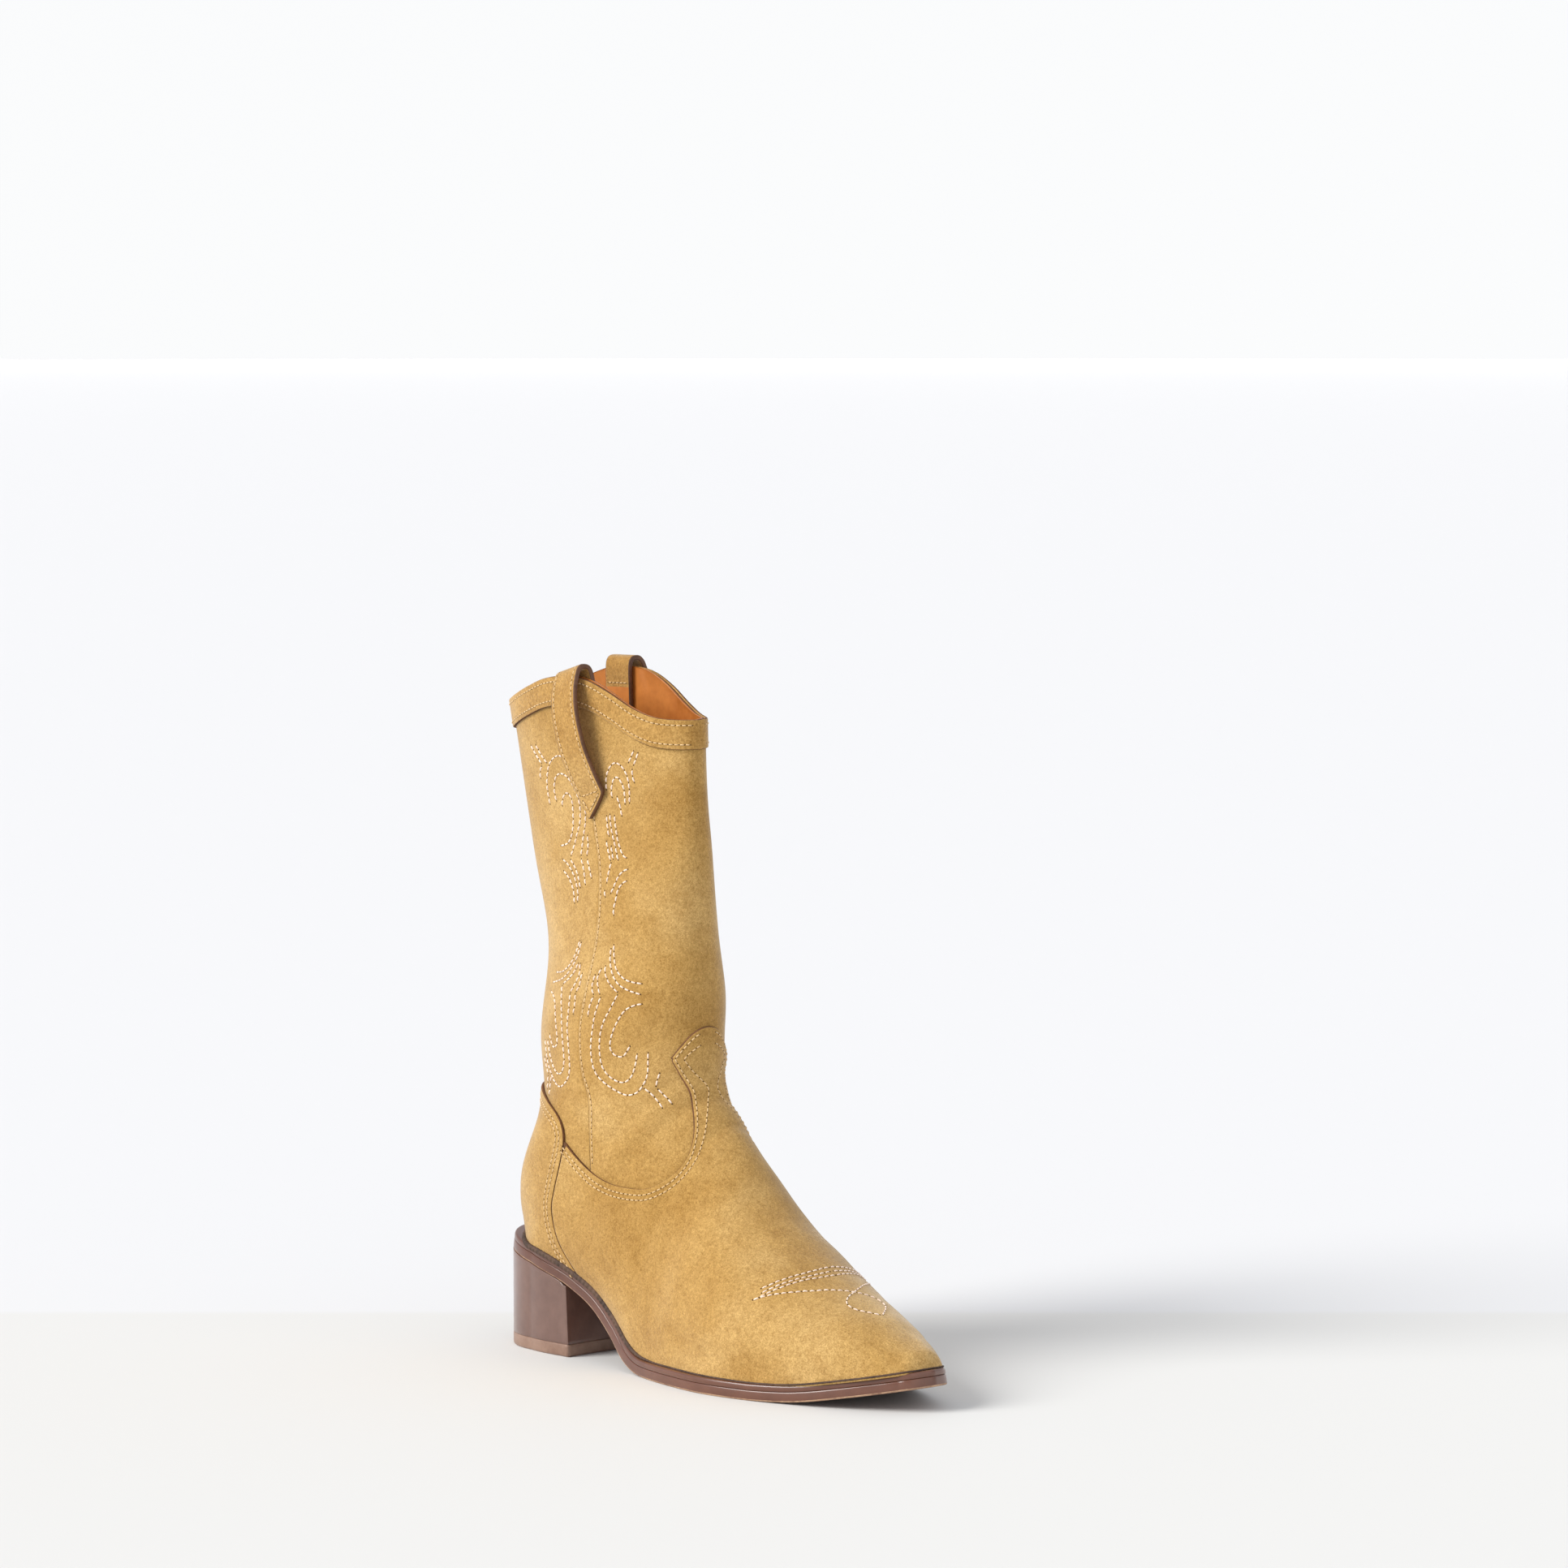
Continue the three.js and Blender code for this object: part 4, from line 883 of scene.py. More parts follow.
def build_heel():
    outline = heel_outline(0)
    top = tread_at(outline[:, 0]) - 0.03
    rings = []
    for share in np.linspace(0, 1, 16):
        z = (TOP_LIFT + 0.12) * (1 - share) + top * share
        lean = np.where(outline[:, 0] > BREAST_X - 3, -1.5 * share, 0)
        rings.append(np.stack([outline[:, 0] + lean, outline[:, 1], z], 1))
    loft("heel_block", rings, sole_leather, ["heel_block"], bevel=0.35)
    rings = []
    profile = [
        (0.9, 0.0), (0.35, 0.15), (0.05, 0.6), (0, 1.4), (0, 3.6), (0, TOP_LIFT - 0.5), (0.18, TOP_LIFT),
    ]
    for inset, z in profile:
        ring = outline_like(heel_outline(inset), len(outline))
        rings.append(np.column_stack([ring, np.full(len(ring), z)]))
    loft("top_lift", rings, lift_rubber, ["top_lift"])


def outline_like(ring, count):
    """The same closed outline with `count` points, evenly shared by place in the list."""
    keys = np.linspace(0, len(ring) - 1, count)
    whole = np.arange(len(ring))
    return np.stack([np.interp(keys, whole, ring[:, 0]), np.interp(keys, whole, ring[:, 1])], 1)


def contour(field):
    """The line field = 0 on the surface, as ordered (v, p) points."""
    uv, tris = whole_patch()
    uv, tris, _ = slice_triangles(uv, tris, field(uv))
    near = np.abs(field(uv)) < 0.6
    edges = [e for e in boundary_of(tris) if near[e[0]] and near[e[1]]]
    following = {int(a): int(b) for a, b in edges}
    starts = set(following) - set(following.values())
    point = min(starts) if starts else next(iter(following))
    chain = [point]
    while point in following and len(chain) <= len(edges):
        point = following[point]
        chain.append(point)
    return uv[chain]


def even(points, step):
    """The same line with points `step` apart."""
    length = np.concatenate([[0], np.cumsum(np.linalg.norm(np.diff(points, axis=0), axis=1))])
    places = np.linspace(0, length[-1], max(2, int(round(length[-1] / step)) + 1))
    return np.stack([np.interp(places, length, points[:, k]) for k in range(points.shape[1])], 1)


def build_rand():
    """Knurled strip between the upper and the welt."""
    line = contour(above_sole(SOLE + 0.2))
    points = skin(line[:, 0], line[:, 1], COVER - 0.1)
    points = even(points, 0.36)
    for _ in range(12):
        points[1:-1] = 0.25 * points[:-2] + 0.5 * points[1:-1] + 0.25 * points[2:]
    along = unit(np.gradient(points, axis=0))
    up = unit(np.array([0, 0, 1.0]) - along * along[:, 2:3])
    out = np.cross(along, up)
    centre = np.array([100, 2, 20.0])
    out *= np.sign(((points - centre) * out).sum(1, keepdims=True))
    place = np.arange(len(points)) * 0.36
    full = 1 - smoothstep(84, 126, points[:, 0])
    points = points + out * (0.55 * full)[:, None] + up * (0.95 * full)[:, None]
    deep, tall = 0.42 + 0.70 * full, 0.42 + 0.90 * full
    sides = 12
    rings = []
    for k in range(sides):
        angle = 2 * math.pi * k / sides
        knurl = 1 + 0.17 * np.sin(2 * math.pi * place / 2.55 + 0.9 * math.cos(angle))
        reach = (deep * math.cos(angle) * knurl)[:, None]
        rise = (tall * math.sin(angle) * (1 + 0.06 * np.sin(2 * math.pi * place / 2.55)))[:, None]
        rings.append(points + out * reach + up * rise)
    vertices = np.stack(rings, 1).reshape(-1, 3)
    faces = tube_faces(sides, len(points))
    new_mesh("rand", vertices, faces, [rand_thread], replaces=["rand"])


# ---------------------------------------------------------------- stitching
DECO_STITCH = {"pitch": 3.0, "length": 2.4, "radius": 0.38, "hole_radius": 0.34}
TOE_STITCH = {"pitch": 3.05, "length": 2.35, "radius": 0.33, "hole_radius": 0.36}
SEAM_STITCH = {"pitch": 2.55, "length": 1.95, "radius": 0.29, "hole_radius": 0.29}
STRAP_STITCH = {"pitch": 2.55, "length": 1.95, "radius": 0.29, "hole_radius": 0.28}


class Threads:
    """Collects stitches and needle holes, the holes as near-black caps of painted shade, then makes one piece
    of each.
    """

    def __init__(self):
        self.vertices, self.faces, self.size = [], [], 0
        self.hole_vertices, self.hole_faces, self.hole_size = [], [], 0

    def add(self, points, normals, pitch, length, radius, hole_radius):
        """Stitches along a line of surface points."""
        gaps = np.linalg.norm(np.diff(points, axis=0), axis=1)
        run = np.concatenate([[0], np.cumsum(gaps)])
        count = int(run[-1] / pitch)
        if count < 1:
            return
        start = (run[-1] - count * pitch) / 2
        sides, stations = 6, 6
        share = np.linspace(0, 1, stations)
        for k in range(count):
            begin = start + k * pitch + (pitch - length) / 2
            places = begin + share * length
            line = np.stack([np.interp(places, run, points[:, c]) for c in range(3)], 1)
            face = np.stack([np.interp(places, run, normals[:, c]) for c in range(3)], 1)
            face /= np.linalg.norm(face, axis=1, keepdims=True)
            along = line[-1] - line[0]
            along /= np.linalg.norm(along) + 1e-9
            across = np.cross(face, along)
            across /= np.linalg.norm(across, axis=1, keepdims=True)
            arch = np.sin(np.pi * share)
            line = line + face * ((arch * 0.42 - 0.22) * radius * 2.2)[:, None]
            girth = radius * np.sqrt(np.clip(1 - (2 * share - 1) ** 6, 0.05, 1))
            for s in range(stations):
                for a in range(sides):
                    angle = 2 * math.pi * a / sides
                    spoke = math.cos(angle) * across[s] + math.sin(angle) * face[s]
                    self.vertices.append(line[s] + girth[s] * spoke)
            self.faces += tube_faces(sides, stations, self.size)
            self.size += sides * stations
        # A near-black cap over each needle hole is painted shade of the hole, since no hole is cut in the
        # leather.
        for k in range(count + 1):
            place = start + k * pitch
            spot = np.array([np.interp(place, run, points[:, c]) for c in range(3)])
            face = np.array([np.interp(place, run, normals[:, c]) for c in range(3)])
            face /= np.linalg.norm(face)
            side = np.cross(face, [0.3, 0.2, 1.0])
            side /= np.linalg.norm(side)
            other = np.cross(face, side)
            for height, size in ((0.07, 1.0), (0.12, 0.45)):
                for a in range(8):
                    angle = math.pi * a / 4
                    spoke = math.cos(angle) * side + math.sin(angle) * other
                    self.hole_vertices.append(spot + face * height + hole_radius * size * spoke)
            self.hole_faces += tube_faces(8, 2, self.hole_size)
            self.hole_size += 16

    def finish(self, name, material, slot):
        new_mesh(name, np.array(self.vertices), self.faces, [material])
        # The hole caps become one piece of painted shade.
        if self.hole_vertices:
            new_mesh(name + "_shade_dots", np.array(self.hole_vertices), self.hole_faces, [needle_hole_shade])


def surface_line(line, side, depth, step=0.8):
    """Surface points and normals along a side-view line."""
    line = even(np.asarray(line, float), step)
    v, p, exists = find_on_skin(line, side, depth)
    v, p = v[exists], p[exists]
    if len(v) < 3:
        return None
    return skin(v, p, depth), normal_at(v, p, depth)


def sew(threads, line, side, depth, **kind):
    """Stitches along a side-view line, as far as the surface has it."""
    found = surface_line(line, side, depth)
    if found:
        threads.add(*found, **kind)


def offset_line(line, distance):
    """Side-view line moved sideways, without the loops that sharp corners would make."""
    line = even(np.asarray(line, float), 0.7)
    way = unit(np.gradient(line, axis=0))
    moved = line + distance * np.stack([-way[:, 1], way[:, 0]], 1)
    away = np.hypot(moved[:, None, 0] - line[None, :, 0], moved[:, None, 1] - line[None, :, 1]).min(1)
    return moved[away > abs(distance) * 0.97]


# Decorative rows in front of the lateral seam: [distance from the seam, height]
DECO_LOW = [
    [[12.8, 186], [14.6, 180], [17, 175.6], [20, 173], [24, 171], [28, 170.2], [32.5, 169.8]],
    [[11.5, 185], [12.2, 180], [13.8, 176], [16.5, 172.2], [20.5, 169], [26, 166.8], [34, 165]],
    [[10.3, 177], [11.2, 173.3], [13.7, 170.3], [17, 167.8], [21.9, 165.1]],
    [[21.9, 165.1], [19.3, 158], [16.9, 152.5], [15.2, 145.5], [14.2, 138], [14.2, 132], [17, 127.8],
     [22, 126.2], [26.8, 128.6], [30, 133.3], [32.7, 140]],
    [[8.9, 176], [7.2, 171.5], [8.7, 167.2], [11.9, 162.6]],
    [[11.9, 162.6], [10.6, 155], [10.2, 148], [9, 139], [9, 131], [11.3, 126.4], [16, 123], [21.5, 120.9],
     [26.5, 122], [30.4, 125], [34.6, 130.4], [37, 140]],
    [[30.4, 125], [33.5, 121.4], [36.7, 115]],
    [[5.2, 172.5], [5, 166.5], [7.3, 162.8]],
    [[7.3, 162.8], [6, 158], [6.1, 153]],
    [[35.7, 161.4], [31, 160.2], [27, 157.5], [24.3, 152.5], [21.5, 145.5], [20.4, 141], [22, 138],
     [26, 137.8], [30.8, 143.5]],
    [[39.7, 131.5], [36, 125]],
    [[36, 125], [38.2, 121], [40.2, 116.9]],
]
DECO_MIDDLE = [
    [[10.4, 242], [9.8, 236], [9.9, 231.6]],
    [[12.6, 243], [12.1, 236], [13, 228.5], [13.9, 221.4]],
    [[15.3, 243], [15, 233], [16, 227.5], [17.6, 224.2], [20.5, 223.4]],
    [[7.6, 231], [8.3, 225], [9.1, 220.9]],
    [[9.1, 220.9], [7, 216], [5.8, 212]],
    [[10.3, 229], [10.8, 221.5]],
    [[20, 219], [16, 217.5], [12.8, 214.5], [10, 210], [7.9, 207]],
    [[19, 214], [15.8, 212.5], [13, 209.5], [11.8, 205.5], [10.6, 201], [11, 197.5]],
    [[4.3, 209], [4.9, 205.5]],
]
DECO_FRONT_TOP = [
    [[33.4, 270.5], [29.1, 265.1]],
    [[36.3, 271], [33.5, 266.5], [30.7, 263]],
    [[30.7, 263], [30, 259.5], [30.6, 256]],
    [[12.6, 252], [13.8, 257.5], [16.7, 262], [20.8, 264.6], [24.6, 263.3], [26.8, 259.5], [26.9, 254],
     [25.4, 247]],
    [[15.4, 248.5], [16.2, 253.5], [18.6, 257.6], [21.3, 258.2], [23.5, 254.5], [23.4, 250], [22.6, 246]],
    [[18.6, 250], [19.6, 246], [19.8, 241.5]],
]
DECO_BACK_TOP = [
    [[-40.6, 269.3], [-36.5, 265], [-32.1, 260.8]],
    [[-32.1, 260.8], [-35, 257.5], [-35.5, 253.5]],
    [[-35.8, 269.8], [-31.5, 265], [-27.3, 261.4]],
    [[-30.6, 243.5], [-30.8, 250.5], [-29, 256.5], [-26, 261.2], [-21.5, 264.4], [-16.5, 265.6], [-12, 263.3],
     [-8.5, 259.3], [-5.1, 253]],
    [[-24.5, 244], [-25.1, 250], [-22.6, 255.6], [-18.5, 257.7], [-14, 257], [-10.6, 253.8], [-8, 249],
     [-7.5, 243.5], [-9, 237.5], [-12.6, 231.7], [-15.5, 227.2], [-20.6, 220.6]],
    [[-20.6, 220.6], [-17.3, 217], [-15.2, 213], [-13.7, 208]],
    [[-20.8, 242.6], [-19.8, 246], [-17, 249], [-14.4, 249.2], [-12.6, 246.5], [-13.2, 240.5], [-14.6, 235],
     [-17.2, 230.4], [-20.8, 227.2], [-27.6, 225.5]],
    [[-3.6, 244.5], [-5.2, 237.5], [-8.2, 231], [-12.3, 221.7]],
    [[-12.3, 221.7], [-10.8, 216.5], [-9.9, 209.5]],
    [[-5.2, 232], [-5.8, 227], [-7.8, 222.5]],
    [[-7.8, 222.5], [-6.6, 217.5], [-4.9, 212]],
    [[-27.1, 220.2], [-22.8, 218], [-19.3, 214.5], [-17, 210.5], [-15.7, 206], [-16, 201.5]],
    [[-27.5, 215.2], [-24, 213.2], [-20.9, 210], [-19, 206], [-18.4, 200.5]],
]
DECO_BACK_SCALE = -0.88

# Toe rows on the vamp as [x, y] plan points, mirrored over the toe's centre line
TOE_ROWS = [
    [[182, 30.4], [184.6, 26.4], [186.9, 22], [188.8, 17], [190.2, 12], [191, 6.5], [191.2, 0]],
    [[182.7, 32.1], [185.5, 28], [188.4, 22.7], [190.6, 17.5], [192.2, 12], [193.2, 6.8], [193.6, 0]],
    [[181.2, 34.9], [184.2, 31.6], [187.7, 26.7], [190.5, 21], [192.8, 15], [195, 8], [196, 0]],
    [[181.2, 34.9], [185.4, 31.1], [189.9, 27], [195, 21.5], [200, 14.5], [204, 7.5], [207.5, 0],
     [210, -6.5], [213, -10], [217, -9.3], [221, -5.5], [225, 0]],
]


def seam_x(z):
    line = smooth_line(SEAM_LATERAL)[::-1]
    return np.interp(z, line[:, 1], line[:, 0])


def build_stitching():
    deco = Threads()
    rows = [(1.0, row) for row in DECO_LOW + DECO_MIDDLE + DECO_FRONT_TOP + DECO_BACK_TOP]
    rows += [(DECO_BACK_SCALE, row) for row in DECO_LOW]
    for scale, row in rows:
        line = smooth_line(row, 8)
        line = np.stack([seam_x(line[:, 1]) + scale * line[:, 0], line[:, 1]], 1)
        depth = SHAFT_FRONT_FACE if scale * row[0][0] > 0 else SHAFT_BACK_FACE
        sew(deco, line, -1, depth, **DECO_STITCH)
    build_toe_rows(deco)
    deco.finish("decorative_stitching", deco_thread, "rand_thread")

    seams = Threads()
    for side, edge in ((-1, VAMP_EDGE_LATERAL), (1, VAMP_EDGE_MEDIAL)):
        line = np.vstack([smooth_line(edge), smooth_line(TONGUE_EDGE[:3])])
        for inset in (-2.3, -4.5):
            sew(seams, offset_line(line, inset)[:-1], side, COVER, **SEAM_STITCH)
    for side, edge in ((-1, COUNTER_EDGE_LATERAL), (1, COUNTER_EDGE_MEDIAL)):
        for inset in (-2.8, -5.2):
            sew(seams, offset_line(smooth_line(edge), inset), side, COVER, **SEAM_STITCH)
    for side, rim in ((-1, RIM_LATERAL), (1, RIM_MEDIAL)):
        for drop in (2.4, COLLAR - 2.2):
            sew(seams, smooth_line(rim) - [0, drop], side, COVER, **SEAM_STITCH)
    upper_seam = [row for row in smooth_line(SEAM_LATERAL) if 84 < row[1] < 288]
    sew(seams, np.array(upper_seam) + [1.7, 0], -1, SHAFT_FRONT_FACE, **SEAM_STITCH)
    medial_seam = even(np.array([[43.2, 290], [42.3, 252], [42.1, 238]]), 1)
    sew(seams, medial_seam + [1.7, 0], 1, SHAFT_FRONT_FACE, **SEAM_STITCH)
    for reach in (1.7, 3.9):
        for front in (-1, 1):
            here, across = tooth_line(np.linspace(-0.045, 1.0, 90))
            line = here + front * (SLOT_HALF + reach) * across
            depth = SHAFT_FRONT_FACE if line[40, 0] > here[40, 0] else SHAFT_BACK_FACE
            sew(seams, line, 1, depth, **SEAM_STITCH)
        top = zip_point(-0.05)[0][[0, 2]]
        arc = [[top[0] + (SLOT_HALF + reach) * math.cos(a), top[1] + (reach + 1.0) * math.sin(a)]
               for a in np.linspace(0.1, math.pi - 0.1, 16)]
        sew(seams, arc, 1, SHAFT_FRONT_FACE, **SEAM_STITCH)
    return seams


TOP_V = np.linspace(0.02, 0.6, 400)
TOP_P = np.linspace(0.9, 3.1, 300)
top_grid = skin(TOP_V[:, None], TOP_P[None, :], COVER, plain=True)


def top_of_vamp(x, y):
    """(v, p) of the surface point above the plan point (x, y), on the front of the foot."""
    away = (top_grid[..., 0] - x) ** 2 + (top_grid[..., 1] - y) ** 2
    i, j = np.unravel_index(away.argmin(), away.shape)
    return TOP_V[i], TOP_P[j]


def build_toe_rows(deco):
    for row in TOE_ROWS:
        for sign in (-1, 1):
            line = even(smooth_line(row, 6), 1.0)
            centre = foot_centre(np.full(len(line), 200.0))
            width = 1.0 if sign < 0 else 0.92
            found = np.array([top_of_vamp(x, c + sign * width * y) for (x, y), c in zip(line, centre)])
            for _ in range(3):
                found[1:-1] = 0.25 * found[:-2] + 0.5 * found[1:-1] + 0.25 * found[2:]
            v, p = found.T
            deco.add(skin(v, p, COVER), normal_at(v, p, COVER), **TOE_STITCH)


# ---------------------------------------------------------------- pull straps
def strap_path(side, top, foot, reach, inner):
    """Centre line of a strap from its outer tip over the topline to its inner end, with the
    outward normals of its outer face."""
    top, foot = np.array(top, float), np.array(foot, float)
    axis = top - foot
    length = np.linalg.norm(axis)
    axis /= length
    half = STRAP_THICK / 2

    def wall(s, depth):
        spot = foot + axis * s
        v, p, _ = find_on_skin(spot[None], side, depth)
        return abs(skin(v, p, depth)[0, 1])

    rim = length - 3
    outer = [(0, wall(0, SHAFT_FRONT_FACE) + half)]
    outer.append((length * 0.13, wall(length * 0.13, SHAFT_FRONT_FACE) + half + 0.2))
    for share, lift in ((0.3, 2.6), (0.5, 5.6), (0.72, 6.2), (0.88, 4.6)):
        outer.append((length * share, wall(min(length * share, rim), COVER) + half + lift))
    edge_out, edge_in = wall(rim, COVER), wall(rim, LINING_INNER)
    over = [
        (length + reach - 4.5, edge_out + half + 1.7), (length + reach - 1.6, edge_out + 0.6),
        (length + reach - half, (edge_out + edge_in) / 2), (length + reach - 1.9, edge_in - 1.0),
        (length + reach - 6, edge_in - half - 0.9),
    ]
    end_wall = wall(length - inner, LINING_INNER)
    inside = [(length - 12, edge_in - half - 0.7), (length - inner, end_wall - half - 0.1)]
    path = even(smooth_line(outer + over + inside, 8), 0.9)
    points = np.stack([foot[0] + axis[0] * path[:, 0], side * path[:, 1], foot[1] + axis[1] * path[:, 0]], 1)
    way = unit(np.gradient(points, axis=0))
    across = np.array([axis[1], 0, -axis[0]])
    normals = np.cross(way, np.broadcast_to(across, way.shape)) * side
    if normals[5] @ np.array([0, side, 0]) < 0:
        normals = -normals
    return points, normals, across


def build_strap(name, side, top, foot, tip, reach, inner, seams, cross_box):
    """A looped band whose inner leg is covered by a lining patch; `tip` puts its point off centre."""
    points, normals, across = strap_path(side, top, foot, reach, inner)
    run = np.concatenate([[0], np.cumsum(np.linalg.norm(np.diff(points, axis=0), axis=1))])
    points = points + across * (tip * np.clip(1 - run / 9.5, 0, 1))[:, None]
    width = STRAP_WIDTH / 2 * np.clip(0.10 + 0.90 * (run / 9.5), 0, 1)
    width = np.minimum(width, STRAP_WIDTH / 2)
    half, soft = STRAP_THICK / 2, 0.55
    flat = np.linspace(-1, 1, 13)
    rings = []
    for k in range(len(points)):
        w = width[k]
        outer = [(u * (w - soft), half) for u in flat]
        right = [(w - 0.15, half - 0.18), (w, half - soft), (w, -half + soft), (w - 0.15, -half + 0.18)]
        inner_face = [(-u * (w - soft), -half) for u in flat]
        left = [(-w + 0.15, -half + 0.18), (-w, -half + soft), (-w, half - soft), (-w + 0.15, half - 0.18)]
        ring = [points[k] + across * a + normals[k] * b for a, b in outer + right + inner_face + left]
        rings.append(ring)
    sides = len(rings[0])
    vertices = np.array(rings).reshape(-1, 3)
    faces = strip_faces(sides, len(rings))
    edge_columns = set(range(12, 17)) | set(range(29, 34))
    indices = [1 if k % sides in edge_columns else 0 for k in range(len(faces))]
    faces += [list(range(sides)), [len(vertices) - sides + k for k in range(sides)]]
    last = int(np.argmax(points[:, 2]))
    covered = last + int(np.searchsorted(run[last:] - run[last], 16))
    for k in range(covered * sides, len(indices)):
        if indices[k] == 0:
            indices[k] = 2
    indices += [1, 1]
    looks = [suede_collar, painted_edge, lining_leather]
    new_mesh(name, vertices, faces, looks, replaces=[name], indices=indices)
    on_face = points + normals * half
    for sign in (-1, 1):
        start = int(np.searchsorted(run, 9))
        edge = on_face[start:last] + across * sign * (STRAP_WIDTH / 2 - 2.1)
        seams.add(edge, normals[start:last], **STRAP_STITCH)
        slant = np.linspace(0, 1, 12)[:, None]
        tip = on_face[int(np.searchsorted(run, 2.6))]
        corner = on_face[start] + across * sign * (STRAP_WIDTH / 2 - 2.1)
        row = tip * (1 - slant) + corner * slant
        seams.add(row, np.repeat(normals[start:start + 1], 12, 0), **STRAP_STITCH)
    inner_row = on_face[covered - 2] + across * np.linspace(-1, 1, 16)[:, None] * (STRAP_WIDTH / 2 - 1.5)
    seams.add(inner_row, np.repeat(normals[covered - 2:covered - 1], 16, 0), **STRAP_STITCH)
    low, high = int(np.searchsorted(run, 10.5)), int(np.searchsorted(run, 22))
    reach_across = STRAP_WIDTH / 2 - 2.1
    lines = [(low, -1, low, 1)]
    if cross_box:
        lines += [(high, -1, high, 1), (low, -1, high, 1), (low, 1, high, -1)]
    for a, sa, b, sb in lines:
        share = np.linspace(0, 1, 16)
        keys = (a + (b - a) * share).round().astype(int)
        spots = on_face[keys] + across * ((sa + (sb - sa) * share) * reach_across)[:, None]
        seams.add(spots, normals[keys], **STRAP_STITCH)


# ---------------------------------------------------------------- the zip
def box_frame(share, depth=0.0):
    """Surface point, outward normal, downward way and across direction on the tooth line."""
    here = zip_point(share)[:, [0, 2]]
    v, p, _ = find_on_skin(here, 1, 0.0)
    spot, face = skin(v, p, depth), normal_at(v, p, depth)
    way = np.gradient(spot, axis=0)
    way = unit(way - face * (way * face).sum(1, keepdims=True))
    return spot, face, way, np.cross(face, way)


def build_zip():
    for name, low, high in (("zip_tape_front", 0.1, TAPE_HALF), ("zip_tape_rear", -TAPE_HALF, -0.1)):
        strip = zip_strip(low, high, -0.065, 1.02)
        panel(name, [inner_side(strip)], LINING_OUTER + 0.1, LINING_OUTER + 0.7,
              [tape_cloth], [name], edge_round=0.2)
    pitch = 1.35
    count = int(zip_radius * zip_sweep * 0.975 / pitch)
    share = np.linspace(0.012, 0.985, count)
    spot, face, way, across = box_frame(share, 0.35)
    front_sign = np.sign(across[:, 0].mean())
    for name, sign, shift in (("zip_teeth_front", front_sign, 0.0), ("zip_teeth_rear", -front_sign, 0.5)):
        vertices, faces = [], []
        for k in range(count):
            centre = spot[k] + way[k] * shift * pitch
            sides, stations = 8, 6
            base = len(vertices)
            for s in range(stations):
                u = s / (stations - 1)
                along = -0.55 + u * (TEETH_HALF + 0.45)
                slant = 0.32 * (u - 0.5) * pitch
                height = 0.25 * math.sin(math.pi * u)
                girth = 0.60 * math.sqrt(max(0.06, 1 - (2 * u - 1) ** 4))
                middle = centre + across[k] * sign * along + way[k] * slant + face[k] * height
                for a in range(sides):
                    angle = 2 * math.pi * a / sides
                    spoke = 0.86 * math.cos(angle) * way[k] + math.sin(angle) * face[k]
                    vertices.append(middle + girth * spoke)
            faces += tube_faces(sides, stations, base)
        new_mesh(name, np.array(vertices), faces, [zip_coil], replaces=[name])


# Frame of the slider at rest
slider_seat = zip_point(SLIDER_SHARE)[0]
slider_up = unit(zip_point(SLIDER_SHARE - 0.01)[0] - zip_point(SLIDER_SHARE + 0.01)[0])
slider_radial = unit(slider_seat - zip_centre)
slider_out = unit(zip_axis * 0.96 * np.sign(zip_axis[1]) - 0.28 * slider_radial)
slider_across = np.cross(slider_up, slider_out)


def in_slider(across, up, out):
    return slider_seat + slider_across * across + slider_up * up + slider_out * out


def rounded_slab(name, outlines, low, high, soft, material, body, hole=None):
    """A plate in the slider's frame with rounded rims; with `hole`, a ring-like plate."""
    vertices, faces = [], []
    outer = np.array(outlines, float)
    count = len(outer)

    def inset(loop, amount):
        ahead, behind = np.roll(loop, -1, 0), np.roll(loop, 1, 0)
        way = unit(ahead - behind)
        return loop + amount * np.stack([-way[:, 1], way[:, 0]], 1)

    levels = [(soft, low), (soft * 0.3, low + soft * 0.3), (0, low + soft),
              (0, high - soft), (soft * 0.3, high - soft * 0.3), (soft, high)]
    for amount, out in levels:
        for a, u in inset(outer, amount):
            vertices.append(in_slider(a, u, out))
    faces += strip_faces(count, len(levels))
    if hole is None:
        faces += [list(range(count)), [(len(levels) - 1) * count + k for k in range(count)]]
    else:
        inner = np.array(hole, float)
        base = len(vertices)
        for amount, out in levels[::-1]:
            for a, u in inset(inner, -amount):
                vertices.append(in_slider(a, u, out))
        faces += [[base + f for f in quad] for quad in strip_faces(count, len(levels))]
        last, first_inner = (len(levels) - 1) * count, base
        last_inner = base + (len(levels) - 1) * count
        for k in range(count):
            n = (k + 1) % count
            faces.append([last + k, last + n, first_inner + n, first_inner + k])
            faces.append([last_inner + k, last_inner + n, n, k])
    return new_mesh(name, np.array(vertices), faces, [material], body=body)


def oval(across, low, high, count=48, square=2.6, taper=0.0):
    """A rounded outline, anticlockwise, between two heights; taper narrows its lower end."""
    loop = []
    middle, reach = (low + high) / 2, (high - low) / 2
    for k in range(count):
        angle = 2 * math.pi * k / count
        c, s = math.cos(angle), math.sin(angle)
        a = math.copysign(abs(c) ** (2 / square), c)
        u = math.copysign(abs(s) ** (2 / square), s)
        loop.append([across * a * (1 - taper * (1 - u) / 2), middle + reach * u])
    return loop


def tube(name, path, width, thick, material, body):
    """A bent flat bar in the slider's frame along a path of [up, out] points."""
    path = smooth_line(path, 6)
    way = unit(np.gradient(path, axis=0))
    normal = np.stack([-way[:, 1], way[:, 0]], 1)
    sides = 12
    vertices = []
    for (up, out), (nu, no) in zip(path, normal):
        for k in range(sides):
            angle = 2 * math.pi * k / sides
            c, s = math.cos(angle), math.sin(angle)
            a = width / 2 * math.copysign(abs(c) ** 0.6, c)
            b = thick / 2 * math.copysign(abs(s) ** 0.6, s)
            vertices.append(in_slider(a, up + nu * b, out + no * b))
    faces = tube_faces(sides, len(path))
    return new_mesh(name, np.array(vertices), faces, [material], body=body)


